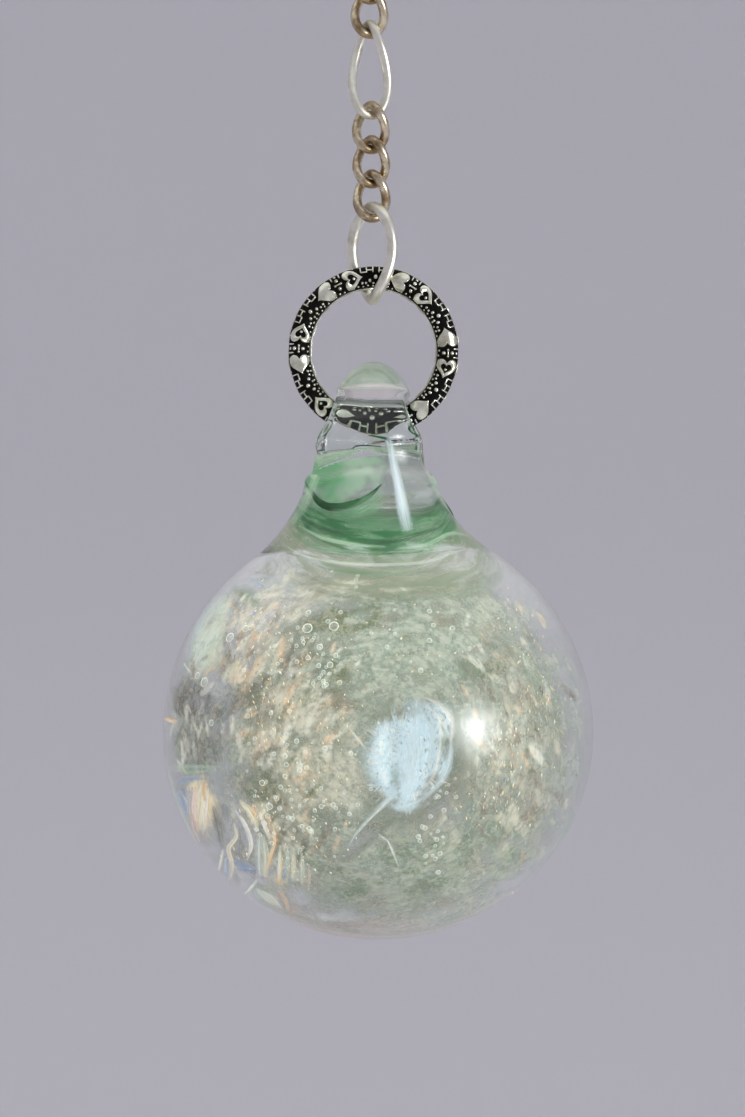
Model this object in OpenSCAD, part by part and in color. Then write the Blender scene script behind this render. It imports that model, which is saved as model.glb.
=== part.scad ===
// Memorial pendant: a glass ball drop with a loop, hung on a ring cast with hearts, on a short run of
// figaro chain. The origin is the hanging point, inside the top of the hanging ring. +Z is up, the
// pendant's front looks along -Y.

/* [Glass drop] */
// Diameter of the ball
ball_d = 37.5; // [36.5:0.1:38.5]
// Height of the ball's lower half, which is a little flatter than the upper half
ball_lower_h = 17.9; // [17:0.1:18.7]
// Distance from the heart ring's wire down to the ball's centre
loop_to_ball = 26.8; // [26:0.1:28]
// Radius of the neck at the level of the loop's hole
neck_r = 4.9; // [4.7:0.1:5.1]
// Radius of the hollow curve from the neck to the ball
flare_r = 12.8; // [12:0.1:13.5]
// Height of the loop's top above the heart ring's wire
dome_h = 5.6; // [5.2:0.1:6]
// Roundness of the loop's top, 2 for a half ellipse and less for a slimmer top
dome_power = 1.55; // [1.4:0.05:1.8]
// Radius of the loop's hole at its narrowest
hole_r = 1.9; // [1.85:0.05:2]
// Distance of the hole's centre below the heart ring's wire
hole_drop = 0.55; // [0.5:0.01:0.6]

/* [Inner glass] */
// Radius of the flecked core inside the clear casing, which magnifies it by half
core_r = 12.4; // [11:0.1:14]
// Radius of the green swirl in the neck
swirl_r = 3.5; // [3:0.1:3.6]
// Height of the green swirl
swirl_h = 5.6; // [5:0.1:6]
// Width of the pale wisp
wisp_w = 4.7; // [4:0.1:5.5]
// Height of the pale wisp
wisp_h = 6.5; // [6:0.1:7.5]
// Gap that parts each inner piece from the glass round it
seal_gap = 0.1; // [0.05:0.01:0.15]

/* [Heart ring] */
// Outer diameter of the heart ring
ring_d = 15; // [14.8:0.1:15.2]
// Thickness of the heart ring over its relief
ring_wire = 2.05; // [1.95:0.05:2.1]
// Height of the cast relief
relief_h = 0.12; // [0.08:0.01:0.2]
// Number of heart pairs round the ring
heart_pairs = 6; // [4:1:6]
// Length of one heart, from its tip to its lobes
heart_l = 2; // [1.6:0.05:2.1]
// Width of one heart across the ring
heart_w = 1.6; // [1.4:0.05:1.8]

/* [Chain] */
// Outer length of a small link
small_l = 4.67; // [4.6:0.01:4.9]
// Outer width of a small link
small_w = 3.36; // [3.3:0.01:3.6]
// Outer length of the long link
long_l = 8.75; // [8:0.05:9.5]
// Outer width of the long link
long_w = 3.85; // [3.6:0.05:4.2]
// Wire thickness of the small links and the long link
chain_wire = 0.81; // [0.75:0.01:0.85]
// Outer length of the end link that holds the heart ring
end_l = 9.03; // [8.9:0.01:9.5]
// Outer width of the end link
end_w = 5.88; // [5.8:0.01:6.2]
// Wire thickness of the end link
end_wire = 0.98; // [0.9:0.01:1]
// Outer diameter of the hanging ring
hang_d = 8.4; // [8:0.1:9]
// Wire thickness of the hanging ring
hang_wire = 1; // [0.9:0.05:1.1]
// Play between two linked wires
link_play = 0.06; // [0.05:0.01:0.1]

/* [Hidden] */

// Colours
silver = [0.78, 0.77, 0.74];
tarnished = [0.66, 0.6, 0.5];
aged_silver = [0.55, 0.54, 0.52];
clear_glass = [0.82, 0.88, 0.84, 0.45];
cream = [0.8, 0.83, 0.74];
leaf_green = [0.25, 0.5, 0.15];
ice_blue = [0.88, 0.92, 0.95];

// Chain links: wire centre to wire centre, and how each link is turned about Z at its top, middle and bottom
link_sides = 6;
small_steps = 32;
long_steps = 44;
squareness = 2.3;
chain_turn = 16;
quarter_twist = 45;
chain_turns = [chain_turn + quarter_twist, chain_turn, chain_turn - quarter_twist];
end_turns = [chain_turn + quarter_twist, 45, 80];
small_span = small_l - chain_wire;
long_span = long_l - chain_wire;
end_span = end_l - end_wire;

// Heights of each link's middle, worked down from the hanging ring
hang_r = (hang_d - hang_wire) / 2;
hang_z = -hang_d / 2 + hang_wire;
hang_turn = 90 - chain_turns[0];
small_step = small_span - chain_wire - link_play;
upper_1_z = hang_z - hang_r + (hang_wire + chain_wire) / 2 + link_play - small_span / 2;
upper_2_z = upper_1_z - small_step;
long_z = upper_2_z - (small_span + long_span) / 2 + chain_wire + link_play;
lower_1_z = long_z - (small_span + long_span) / 2 + chain_wire + link_play;
lower_2_z = lower_1_z - small_step;
lower_3_z = lower_2_z - small_step;
end_z = lower_3_z - (small_span + end_span) / 2 + (chain_wire + end_wire) / 2 + link_play;

// Heart ring: its wire runs at ring_r round a centre ring_r below the seat in the end link
ring_seat = 1.95;
ring_r = (ring_d - ring_wire) / 2;
ring_top_z = end_z - end_span / 2 + ring_seat;
ring_z = ring_top_z - ring_r;
wire_z = ring_z - ring_r;
heart_steps = 18;
heart_side = 12.5;
outline_share = 0.55;
dot_r = 0.2;
dot_row = 0.52;
rim_band = 0.3;

// Glass drop
ball_r = ball_d / 2;
ball_z = wire_z - loop_to_ball;
flare_x = neck_r + flare_r;
flare_z = ball_z + sqrt(pow(ball_r + flare_r, 2) - pow(flare_x, 2));
flare_end = atan2(flare_z - ball_z, flare_x);
loop_top_z = wire_z + dome_h;
hole_z = wire_z - hole_drop;
hole_flare_r = ring_r;
hole_mouth_r = 3.9;
hole_half_l = 6.4;
arc_steps = 16;
round_fn = 64;

// Inner pieces
swirl_z = wire_z - 7.1;
swirl_layers = 3;
swirl_ripple = 0.35;
swirl_steps = 24;
wisp_x = 2.1;
wisp_z = ball_z - 0.9;

function signed_power(v, p) = sign(v) * pow(abs(v), p);

function link_turn(h, turns) =
    turns[1] + (turns[0] - turns[2]) / 2 * h + ((turns[0] + turns[2]) / 2 - turns[1]) * h * h;

function link_height(t) = signed_power(sin(t), 2 / squareness);

function link_point(t, span, width, turns, z) =
    let (
        h = link_height(t),
        u = width / 2 * signed_power(cos(t), 2 / squareness),
        turn = link_turn(h, turns)
    )
    [u * cos(turn), -u * sin(turn), z + span / 2 * h];

// One link: a round wire swept along a closed oval, whose plane turns from its top to its bottom
module link(length, width, wire, turns, z, steps) {
    step = 360 / steps;
    rings = [
        for (i = [0 : steps - 1])
            let (
                t = (i + 0.5) * step,
                centre = link_point(t, length - wire, width - wire, turns, z),
                ahead = link_point(t + step, length - wire, width - wire, turns, z),
                behind = link_point(t - step, length - wire, width - wire, turns, z),
                along = (ahead - behind) / norm(ahead - behind),
                turn = link_turn(link_height(t), turns),
                side = cross(along, [sin(turn), cos(turn), 0]),
                out = side / norm(side),
                up = cross(out, along)
            )
            for (j = [0 : link_sides - 1])
                let (a = 360 * j / link_sides)
                centre + wire / 2 * (cos(a) * out + sin(a) * up)
    ];
    faces = [
        for (i = [0 : steps - 1])
            for (j = [0 : link_sides - 1])
                let (
                    a = i * link_sides + j,
                    b = i * link_sides + (j + 1) % link_sides,
                    c = ((i + 1) % steps) * link_sides + (j + 1) % link_sides,
                    d = ((i + 1) % steps) * link_sides + j
                )
                each [[a, b, c], [a, c, d]]
    ];
    polyhedron(points = rings, faces = faces);
}

module small_link(z) {
    color(tarnished) link(small_l, small_w, chain_wire, chain_turns, z, small_steps);
}

module ring_wire_solid(radius, wire_r) {
    rotate([90, 0, 0]) rotate_extrude($fn = round_fn) translate([radius, 0]) circle(r = wire_r, $fn = 32);
}

module hanging_ring() {
    color(silver) translate([0, 0, hang_z]) rotate([0, 0, hang_turn]) ring_wire_solid(hang_r, hang_wire / 2);
}

module upper_link_1() small_link(upper_1_z);

module upper_link_2() small_link(upper_2_z);

module long_link() {
    color(silver) link(long_l, long_w, chain_wire, chain_turns, long_z, long_steps);
}

module lower_link_1() small_link(lower_1_z);

module lower_link_2() small_link(lower_2_z);

module lower_link_3() small_link(lower_3_z);

module end_link() {
    color(silver) link(end_l, end_w, end_wire, end_turns, end_z, long_steps);
}

// A heart outline round the origin, lobes towards +X and tip towards -X
module heart(length, width) {
    polygon([
        for (i = [0 : heart_steps - 1])
            let (t = 360 * (i + 0.5) / heart_steps)
            [
                length * (13 * cos(t) - 5 * cos(2 * t) - 2 * cos(3 * t) - cos(4 * t) + 2.5) / 29,
                width * pow(sin(t), 3) / 2
            ]
    ]);
}

module outlined_heart(length, width) {
    difference() {
        heart(length, width);
        heart(length * outline_share, width * outline_share);
    }
}

// Relief between two pairs of hearts: a middle dot with one on each side of it
module dot_row() {
    for (side = [-1 : 1]) translate([0, side * dot_row]) circle(r = dot_r, $fn = 16);
}

// The front view of the cast pattern, round the ring's centre
module ring_pattern() {
    for (i = [0 : heart_pairs - 1]) rotate(180 - 360 * i / heart_pairs) {
        rotate(heart_side) translate([ring_r, 0]) rotate(-90) heart(heart_l, heart_w);
        rotate(-heart_side) translate([ring_r, 0]) rotate(90) outlined_heart(heart_l, heart_w);
        translate([ring_r, 0]) rotate(90) dot_row();
        rotate(180 / heart_pairs) translate([ring_r, 0]) rotate(90) dot_row();
    }
}

module heart_ring() {
    color(aged_silver) translate([0, 0, ring_z]) {
        ring_wire_solid(ring_r, ring_wire / 2 - relief_h);
        intersection() {
            ring_wire_solid(ring_r, ring_wire / 2);
            rotate([90, 0, 0]) linear_extrude(height = 2 * ring_wire, center = true) ring_pattern();
        }
        // The narrow raised band round the outer and the inner edge
        intersection() {
            ring_wire_solid(ring_r, ring_wire / 2);
            rotate([90, 0, 0]) cylinder(r = ring_d, h = rim_band, center = true, $fn = round_fn);
        }
    }
}

// The hole's walls open out towards both sides, as the ring's wire bends up through it
module loop_hole() {
    translate([0, 0, hole_z]) rotate([0, 90, 0]) difference() {
        cylinder(r = hole_mouth_r, h = 2 * hole_half_l, center = true, $fn = round_fn);
        rotate_extrude($fn = round_fn) translate([hole_r + hole_flare_r, 0]) circle(r = hole_flare_r, $fn = 96);
    }
}

function dome_outline() = [
    for (i = [0 : arc_steps])
        let (
            a = 90 * i / arc_steps,
            across = pow(sin(a), 2 / dome_power),
            rise = pow(cos(a), 2 / dome_power)
        )
        [neck_r * across, flare_z + (loop_top_z - flare_z) * rise]
];

function flare_outline() = [
    for (i = [1 : arc_steps])
        let (a = flare_end * i / arc_steps)
        [flare_x - flare_r * cos(a), flare_z - flare_r * sin(a)]
];

function ball_outline() = [
    for (i = [1 : 2 * arc_steps])
        let (
            a = flare_end - (flare_end + 90) * i / (2 * arc_steps),
            half_h = a > 0 ? ball_r : ball_lower_h
        )
        [ball_r * cos(a), ball_z + half_h * sin(a)]
];

// The flecked core, and with a gap added the cavity that holds it
module core_solid(gap) {
    translate([0, 0, ball_z]) sphere(r = core_r + gap, $fn = round_fn);
}

module swirl_solid(gap) {
    half_h = swirl_h / 2;
    translate([0, 0, swirl_z]) rotate_extrude($fn = round_fn) polygon([
        for (i = [0 : swirl_steps])
            let (
                a = 180 * i / swirl_steps,
                ripple = 1 - swirl_ripple * pow(sin(a * swirl_layers), 2) / 2
            )
            [(swirl_r * ripple + gap) * sin(a), (half_h + gap) * cos(a)]
    ]);
}

module wisp_solid(gap) {
    translate([wisp_x, 0, wisp_z]) rotate_extrude($fn = round_fn) polygon([
        for (i = [0 : arc_steps])
            let (a = 180 * i / arc_steps)
            [(wisp_w / 2 + gap) * sin(a), (wisp_h / 2 + gap) * cos(a)]
    ]);
}

module glass_drop() {
    color(clear_glass) difference() {
        rotate_extrude($fn = round_fn)
            polygon(concat(dome_outline(), flare_outline(), ball_outline()));
        loop_hole();
        core_solid(seal_gap);
        swirl_solid(seal_gap);
    }
}

module flecked_core() {
    color(cream) difference() {
        core_solid(0);
        wisp_solid(seal_gap);
    }
}

module green_swirl() {
    color(leaf_green) swirl_solid(0);
}

module pale_wisp() {
    color(ice_blue) wisp_solid(0);
}

hanging_ring();
upper_link_1();
upper_link_2();
long_link();
lower_link_1();
lower_link_2();
lower_link_3();
end_link();
heart_ring();
glass_drop();
flecked_core();
green_swirl();
pale_wisp();
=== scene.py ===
# The looks of the memorial pendant: glass drop, cast ring and figaro chain, hung in a plain pale studio.

import math
import random

import bpy
import numpy as np
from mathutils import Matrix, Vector, noise


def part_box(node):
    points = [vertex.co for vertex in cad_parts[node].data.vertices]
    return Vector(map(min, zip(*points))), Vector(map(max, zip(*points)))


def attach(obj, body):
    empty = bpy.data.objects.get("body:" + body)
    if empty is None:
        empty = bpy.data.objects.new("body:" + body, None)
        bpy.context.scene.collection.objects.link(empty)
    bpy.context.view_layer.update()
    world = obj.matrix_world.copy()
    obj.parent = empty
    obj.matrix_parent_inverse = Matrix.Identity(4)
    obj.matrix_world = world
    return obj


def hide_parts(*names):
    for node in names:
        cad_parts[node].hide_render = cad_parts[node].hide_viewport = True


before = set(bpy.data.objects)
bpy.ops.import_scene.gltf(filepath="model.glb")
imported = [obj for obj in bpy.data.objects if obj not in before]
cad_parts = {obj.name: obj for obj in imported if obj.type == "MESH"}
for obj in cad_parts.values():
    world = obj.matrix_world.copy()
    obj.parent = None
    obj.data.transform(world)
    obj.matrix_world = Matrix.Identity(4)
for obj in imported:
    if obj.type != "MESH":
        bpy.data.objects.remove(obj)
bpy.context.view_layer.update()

MM = 0.001

# Places and sizes that the frame gives
drop_low, drop_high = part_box("glass_drop")
core_low, core_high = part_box("flecked_core")
ring_low, ring_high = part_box("heart_ring")
hang_low, hang_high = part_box("hanging_ring")
ball_r = (drop_high.x - drop_low.x) / 2
ball_z = (core_low.z + core_high.z) / 2
ball_lower_h = ball_z - drop_low.z
ball_centre = Vector((0, 0, ball_z))
ring_tube_r = (ring_high.y - ring_low.y) / 2
ring_r = (ring_high.x - ring_low.x) / 2 - ring_tube_r
ring_z = (ring_low.z + ring_high.z) / 2
wire_z = ring_z - ring_r
hang_z = (hang_low.z + hang_high.z) / 2

# The photograph's frame, and where the pendant's own points show in it
PHOTO_MM_PER_PX = 0.0872
BALL_PX_X = 378
BALL_PX_Y = 733
NECK_PX_X = 374
WIRE_PX_Y = 426

# Glass neck and loop, in millimetres, heights from the middle of the ring's wire where it hangs
NECK_R = 4.9
FLARE_R = 12.8
LOOP_HALF_W = 4.2
LOOP_HALF_D = 5.0
LOOP_SEMI_H = 8.4
LOOP_SQUARENESS = 0.6
LOOP_LEAN = 0.19
HOLE_HALF_D = 1.9
HOLE_HALF_H = 2.0
HOLE_POWER = 6.0
HOLE_MOUTH = 2.0
HOLE_DROP = 0.5
HOLE_LIP = 0.9
HOLE_REACH = -8
SHOULDER = 0.11
NECK_SHIFT = -0.35
MOUTH_BELOW = 0.8
STRAND_SWELL = 0.5
STRAND_Z = -0.9
STRAND_HALF_H = 3.0
SEAM_Z = -2.0
SEAM_DEPTH = 0.12
SEAM_HALF_H = 0.3
SEAM_LEAN = 0.1
GLASS_GRAIN = 0.28
GLASS_BEND = 1.48
# The rough blank that the drop is shaped from, and the tool that cuts its hole, in millimetres
BLANK_GRAIN = 0.45
CONE_FOOT_R = 10.6
CONE_H = 11.6
CONE_DROP = 6.5
LOOP_DROP = 2.8
CUTTER_R = 2.3
CUTTER_L = 20
RELAX_ROUNDS = 20
# Search for the glass's front: how far in front of the axis it starts, and how often it halves its step
SEARCH_FRONT = 20
SEARCH_ROUNDS = 24
# Where a form of the neck sets in, down from the ring's wire, and the height over which it grows or fades
SQUARE_FADE = (3, 6)
LEAN_FADE = (1, 6)
SHOULDER_RISE = (-0.4, 1.4)
SHOULDER_FADE = (2.5, 3.5)
SHIFT_RISE = (0, 4)
SHIFT_FADE = (8, 4)
FLARE_RISE = (-0.5, 6)
# The same, up from the middle of the loop's hole for its mouth, and to the front for the swell and seam
MOUTH_RISE = (-1, 2)
FRONT_RISE = (0, 2)

# Seeds of the random draws
SEEDS = {
    "bubbles": 11, "splinters": 21, "splinter grains": 22, "tufts": 31, "strands": 41, "small smears": 51,
}

# Cast ring, in millimetres
RELIEF_H = 0.13
HEART_PAIRS = 6
HEART_L = 1.74
HEART_W = 1.86
HEART_SIDE = math.radians(12.5)
PATTERN_TURN = math.radians(-2.5)
# How a heart's outline shrinks and rises in turn, from its edge to its middle
SOLID_HEART_STEPS = ((0.91, 0.03), (0.72, -0.025), (0.5, 0.0))
HOLLOW_HEART_STEPS = ((0.92, 0.03), (0.62, 0.0), (0.86, -0.14), (0.5, 0.0))
HEART_POINTS = 32
# How deep a heart's foot is sunk in the wire, and how much higher than the relief its wall is
HEART_SINK = 0.04
HEART_EXTRA = 0.02
# How high the middle of a bead or bar lies, a bead's flatness, and a bar's depth and bevel
BEAD_Z = 0.02
BEAD_FLATNESS = 0.75
BAR_Z = 0.03
BAR_DEPTH = 0.2
BAR_BEVEL = 0.02
# Beads as they show from the front: along the ring, out from the middle of the wire, and radius
LOBE_BEADS = ((0, 0.38, 0.17), (0, -0.34, 0.17), (0, 0.72, 0.12), (-0.28, 0.02, 0.1), (0.28, 0.02, 0.1))
TIP_BEADS = ((0.52, -0.34, 0.16), (0.2, -0.56, 0.12), (0.9, -0.52, 0.12))
TIP_MIDDLE_BEAD = (-0.04, 0.19)
HOLLOW_BEAD = (-0.06, 0.13)
SIDE_BEAD = (0.74, -0.5, 0.13)
# Bars: along the ring, out from the middle of the wire, length along the ring and width across it
LOBE_BARS = ((-0.34, 0.66, 0.1, 0.5), (0.34, 0.66, 0.1, 0.5), (0, 0.02, 0.42, 0.1))
# Bars by the outer edge, along the ring from each heart's middle, how far in from the edge, length and width
EDGE_BARS = (-0.6, -0.1, 0.4)
EDGE_BAR_IN = 0.14
EDGE_BAR = (0.1, 0.5)
# Bricks between tips: how many, their length, the width of their seams, then how far out the upright seams lie
# and how long they are, and how far out the first level seam lies and the step to the second
BRICKS = 6
BRICK_L = 0.5
BRICK_SEAM = 0.1
BRICK_OUT = 0.66
BRICK_W = 0.8
COURSE_OUT = 0.36
COURSE_STEP = 0.16
# The row of beads by the inner edge: their spacing, place, stagger and radius, and the band below them
INNER_BEAD_GAP = 0.48
INNER_BEAD_OUT = -0.77
INNER_BEAD_STAGGER = 0.05
INNER_BEAD_R = 0.11
INNER_BAND_W = 0.12

# Chain, in millimetres: outer length, outer width, wire
SMALL_LINK = (4.67, 3.36, 0.81)
LONG_LINK = (8.75, 3.85, 0.81)
END_LINK = (9.03, 5.88, 0.98)
LONG_LINK_TAPER = 0.18
HANG_WIRE = 1.0
SQUARENESS = 2.3
CHAIN_TURNS = (61, 16, -29)
END_TURNS = (61, 45, 80)
# How dark a link's bends are made, tarnished and with painted shade where the links touch, and the share of
# its half length from which they count as bends
BEND_TARNISH_AND_SHADE = 0.85
BEND_SHARE = (0.6, 0.35)


# Small helpers

def pick(*pieces):
    """Leaves object mode's selection with these pieces alone, the first one active."""
    if bpy.context.object and bpy.context.object.mode != "OBJECT":
        bpy.ops.object.mode_set(mode="OBJECT")
    bpy.ops.object.select_all(action="DESELECT")
    for piece in pieces:
        piece.select_set(True)
    if pieces:
        bpy.context.view_layer.objects.active = pieces[0]


def edit(piece):
    pick(piece)
    bpy.ops.object.mode_set(mode="EDIT")
    bpy.ops.mesh.select_all(action="SELECT")


def leave_edit():
    bpy.ops.object.mode_set(mode="OBJECT")


def join(first, *others):
    pick(first, *others)
    if others:
        bpy.ops.object.join()
    return first


def apply_modifier(piece, kind, **settings):
    pick(piece)
    modifier = piece.modifiers.new(kind.title(), kind)
    for setting, value in settings.items():
        setattr(modifier, setting, value)
    bpy.ops.object.modifier_apply(modifier=modifier.name)


def settle(piece):
    """Puts the piece's place, turn and scale into its mesh."""
    pick(piece)
    bpy.ops.object.transform_apply(location=True, rotation=True, scale=True)
    return piece


def points_of(piece):
    points = np.empty(len(piece.data.vertices) * 3)
    piece.data.vertices.foreach_get("co", points)
    return points.reshape(-1, 3)


def set_points(piece, points):
    piece.data.vertices.foreach_set("co", points.astype(np.float32).ravel())
    piece.data.update()


def put_in_scene(name, data):
    made = bpy.data.objects.new(name, data)
    bpy.context.scene.collection.objects.link(made)
    return made


def mesh_piece(name, points, faces):
    mesh = bpy.data.meshes.new(name)
    mesh.from_pydata([tuple(p) for p in points], [], faces)
    mesh.update()
    return put_in_scene(name, mesh)


def copy_piece(piece):
    return put_in_scene(piece.name, piece.data.copy())


def delete_points(piece, chosen):
    """Takes off the chosen points of the piece, with their faces."""
    edit(piece)
    bpy.ops.mesh.select_all(action="DESELECT")
    leave_edit()
    piece.data.vertices.foreach_set("select", chosen)
    bpy.ops.object.mode_set(mode="EDIT")
    bpy.ops.mesh.delete(type="VERT")
    leave_edit()
    return piece


def let_curve_flow(point):
    point.handle_left_type = "AUTO"
    point.handle_right_type = "AUTO"


def store_cover(piece, cover):
    """Gives each point of the piece its thickness, or how tarnished it is together with painted shade, from 0
    to 1.
    """
    attribute = piece.data.attributes.new("cover", "FLOAT", "POINT")
    attribute.data.foreach_set("value", cover.astype(np.float32))


def rise(value, start, span):
    """From 0 at the start to 1 a span further on, smoothly."""
    t = np.clip((value - start) / span, 0, 1)
    return t * t * (3 - 2 * t)


def dress(piece, name, material, body, slot, *replaced):
    """Gives the finished piece its name and finish, and hangs it on its body in place of what it replaces."""
    settle(piece)
    bpy.ops.object.shade_smooth()
    piece.name = name
    piece.data.name = name
    piece.data.materials.clear()
    piece.data.materials.append(material)
    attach(piece, body)
    if replaced:
        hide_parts(*replaced)


# Node helpers

def plug(tree, node, inputs):
    """Wires sockets into the node's inputs, and sets plain values on them."""
    for socket, value in inputs.items():
        if isinstance(value, bpy.types.NodeSocket):
            tree.links.new(value, node.inputs[socket])
        else:
            node.inputs[socket].default_value = value


def add_node(tree, kind, inputs=None, **settings):
    made = tree.nodes.new("ShaderNode" + kind)
    for setting, value in settings.items():
        setattr(made, setting, value)
    plug(tree, made, inputs or {})
    return made


def use_group(tree, group, inputs):
    return add_node(tree, "Group", inputs, node_tree=group).outputs


def maths(tree, operation, first, second=0.0):
    return add_node(tree, "Math", {0: first, 1: second}, operation=operation).outputs[0]


def times(tree, first, *others):
    for other in others:
        first = maths(tree, "MULTIPLY", first, other)
    return first


def weigh(tree, share, first, second):
    """The first value by its share, and the second by the rest."""
    return maths(tree, "ADD", times(tree, first, share), times(tree, second, 1 - share))


def ramp(tree, value, low, high, to_low=0.0, to_high=1.0):
    """A smooth step from to_low to to_high, as the value goes from low to high."""
    inputs = {"Value": value, "From Min": low, "From Max": high, "To Min": to_low, "To Max": to_high}
    return add_node(tree, "MapRange", inputs, interpolation_type="SMOOTHSTEP").outputs["Result"]


def blend_colours(tree, share, first, second):
    made = add_node(tree, "Mix", {"Factor": share, "A": first, "B": second}, data_type="RGBA")
    return made.outputs["Result"]


def clouds_of(tree, place, scale, detail, roughness, distortion=0.0):
    """A noise that is the same at the same place of the glass or metal."""
    made = add_node(tree, "TexNoise", {
        "Vector": place, "Scale": scale, "Detail": detail, "Roughness": roughness, "Distortion": distortion,
    })
    return made.outputs["Fac"]


def attribute_of(tree, name, output="Fac"):
    """What the piece's own attribute says at each point."""
    return add_node(tree, "Attribute", attribute_name=name).outputs[output]


def along_axis(tree, vector, axis):
    return add_node(tree, "SeparateXYZ", {"Vector": vector}).outputs[axis]


def turned(tree, vector, **changes):
    """The place stretched, turned or moved, as a pattern needs it."""
    inputs = {name.title(): value for name, value in changes.items()}
    return add_node(tree, "Mapping", {"Vector": vector, **inputs}).outputs["Vector"]


def vector_maths(tree, operation, first, second):
    return add_node(tree, "VectorMath", {0: first, 1: second}, operation=operation).outputs[0]


def length_of(tree, vector):
    return add_node(tree, "VectorMath", {0: vector}, operation="LENGTH").outputs["Value"]


def bump_of(tree, height, strength, distance):
    made = add_node(tree, "Bump", {"Height": height, "Strength": strength, "Distance": distance})
    return made.outputs["Normal"]


def new_group(name, inputs, outputs):
    """A node group with its named sockets, ready for its inside to be wired."""
    group = bpy.data.node_groups.new(name, "ShaderNodeTree")
    for socket, kind, value in inputs:
        made = group.interface.new_socket(socket, in_out="INPUT", socket_type="NodeSocket" + kind)
        if value is not None:
            made.default_value = value
    for socket in outputs:
        group.interface.new_socket(socket, in_out="OUTPUT", socket_type="NodeSocketFloat")
    start = group.nodes.new("NodeGroupInput")
    end = group.nodes.new("NodeGroupOutput")
    return group, start.outputs, end


def place_in(tree):
    """Where each point lies in the object, which is also where it lies in the frame."""
    return add_node(tree, "TexCoord").outputs["Object"]


def new_material(name):
    material = bpy.data.materials.new(name)
    material.use_nodes = True
    material.cycles.emission_sampling = "NONE"
    tree = material.node_tree
    return material, tree, tree.nodes["Principled BSDF"]


def rgb(red, green, blue):
    """A colour given as the eye names it, from 0 to 255, as the shader wants it."""
    parts = [c / 255 for c in (red, green, blue)]
    linear = [c / 12.92 if c <= 0.04045 else ((c + 0.055) / 1.055) ** 2.4 for c in parts]
    return (*linear, 1)


# Effects that several finishes share

def make_patches_group():
    """Ragged patches of glass grain, drawn out along one direction."""
    group, given, wanted = new_group(
        "ragged patches",
        [
            ("Place", "Vector", None), ("Size", "Float", 500.0),
            ("Cover", "Float", 0.5), ("Edge", "Float", 0.06),
        ],
        ["Mask", "Grain"],
    )
    coarse = clouds_of(group, given["Place"], given["Size"], 4.0, 0.68, 0.6)
    fine = clouds_of(group, given["Place"], times(group, given["Size"], 4.5), 2.0, 0.7)
    level = maths(group, "SUBTRACT", 1.0, given["Cover"])
    low = maths(group, "SUBTRACT", level, given["Edge"])
    high = maths(group, "ADD", level, given["Edge"])
    plug(group, wanted, {"Mask": ramp(group, weigh(group, 0.7, coarse, fine), low, high), "Grain": fine})
    return group


def make_wear_group():
    """Tarnish that lies in clouds, and the fine scratches of a worn metal."""
    group, given, wanted = new_group(
        "worn metal", [("Place", "Vector", None), ("Amount", "Float", 0.5)], ["Tarnish", "Height"])
    clouds = clouds_of(group, given["Place"], 700.0, 5.0, 0.62)
    level = maths(group, "SUBTRACT", 0.95, given["Amount"])
    low = maths(group, "SUBTRACT", level, 0.18)
    high = maths(group, "ADD", level, 0.18)
    scratches = clouds_of(group, given["Place"], 5200.0, 3.0, 0.6)
    plug(group, wanted, {"Tarnish": ramp(group, clouds, low, high), "Height": scratches})
    return group


patches = make_patches_group()
worn = make_wear_group()


# Metal finishes

def make_silver(name, bright, dull, amount, roughness, bump):
    """Silver that tarnishes in clouds, and is darkest where its cover attribute says: on the links, tarnished
    and with painted shade at the bends where they touch.
    """
    material, tree, shader = new_material(name)
    place = place_in(tree)
    wear = use_group(tree, worn, {"Place": place, "Amount": amount})
    tarnish_and_shade = maths(tree, "MAXIMUM", wear["Tarnish"], attribute_of(tree, "cover"))
    plug(tree, shader, {
        "Base Color": blend_colours(tree, tarnish_and_shade, bright, dull),
        "Roughness": ramp(tree, tarnish_and_shade, 0.0, 1.0, roughness, roughness + 0.2),
        "Normal": bump_of(tree, wear["Height"], bump, 0.02 * MM),
        "Metallic": 1.0,
    })
    return material


def make_cast_silver():
    """Silver that is black in the cast recesses and rubbed bright on what stands up."""
    material, tree, shader = new_material("oxidised cast silver")
    place = place_in(tree)
    centred = turned(tree, place, location=(0.0, 0.0, -ring_z))
    x, y, z = add_node(tree, "SeparateXYZ", {"Vector": centred}).outputs
    reach = length_of(tree, add_node(tree, "CombineXYZ", {"X": x, "Z": z}).outputs[0])
    sideways = maths(tree, "SUBTRACT", reach, ring_r)
    height = length_of(tree, add_node(tree, "CombineXYZ", {"X": sideways, "Y": y}).outputs[0])
    wear = use_group(tree, worn, {"Place": place, "Amount": 0.42})
    uneven = maths(tree, "ADD", height, times(tree, wear["Height"], 0.03 * MM))
    raised = ramp(tree, uneven, ring_tube_r - 0.1 * MM, ring_tube_r - 0.045 * MM)
    rubbed = blend_colours(tree, wear["Tarnish"], rgb(242, 244, 228), rgb(188, 184, 156))
    plug(tree, shader, {
        "Base Color": blend_colours(tree, raised, rgb(7, 6, 5), rubbed),
        "Roughness": ramp(tree, raised, 0.0, 1.0, 0.72, 0.22),
        "Metallic": ramp(tree, raised, 0.0, 1.0, 0.2, 0.92),
        "Specular IOR Level": 0.15,
        "Normal": bump_of(tree, wear["Height"], 0.35, 0.03 * MM),
    })
    return material


# Glass finishes

def dress_with_painted_glow(tree, shader, colour, glow, roughness, alpha=1.0):
    """Dresses the shader as glass of that colour with a painted glow: emission in the glass's own colour, as
    strong as glow says, that stands in for the light it would catch.
    """
    plug(tree, shader, {
        "Base Color": colour, "Emission Color": colour, "Emission Strength": glow,
        "Roughness": roughness, "Alpha": alpha,
    })


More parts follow.
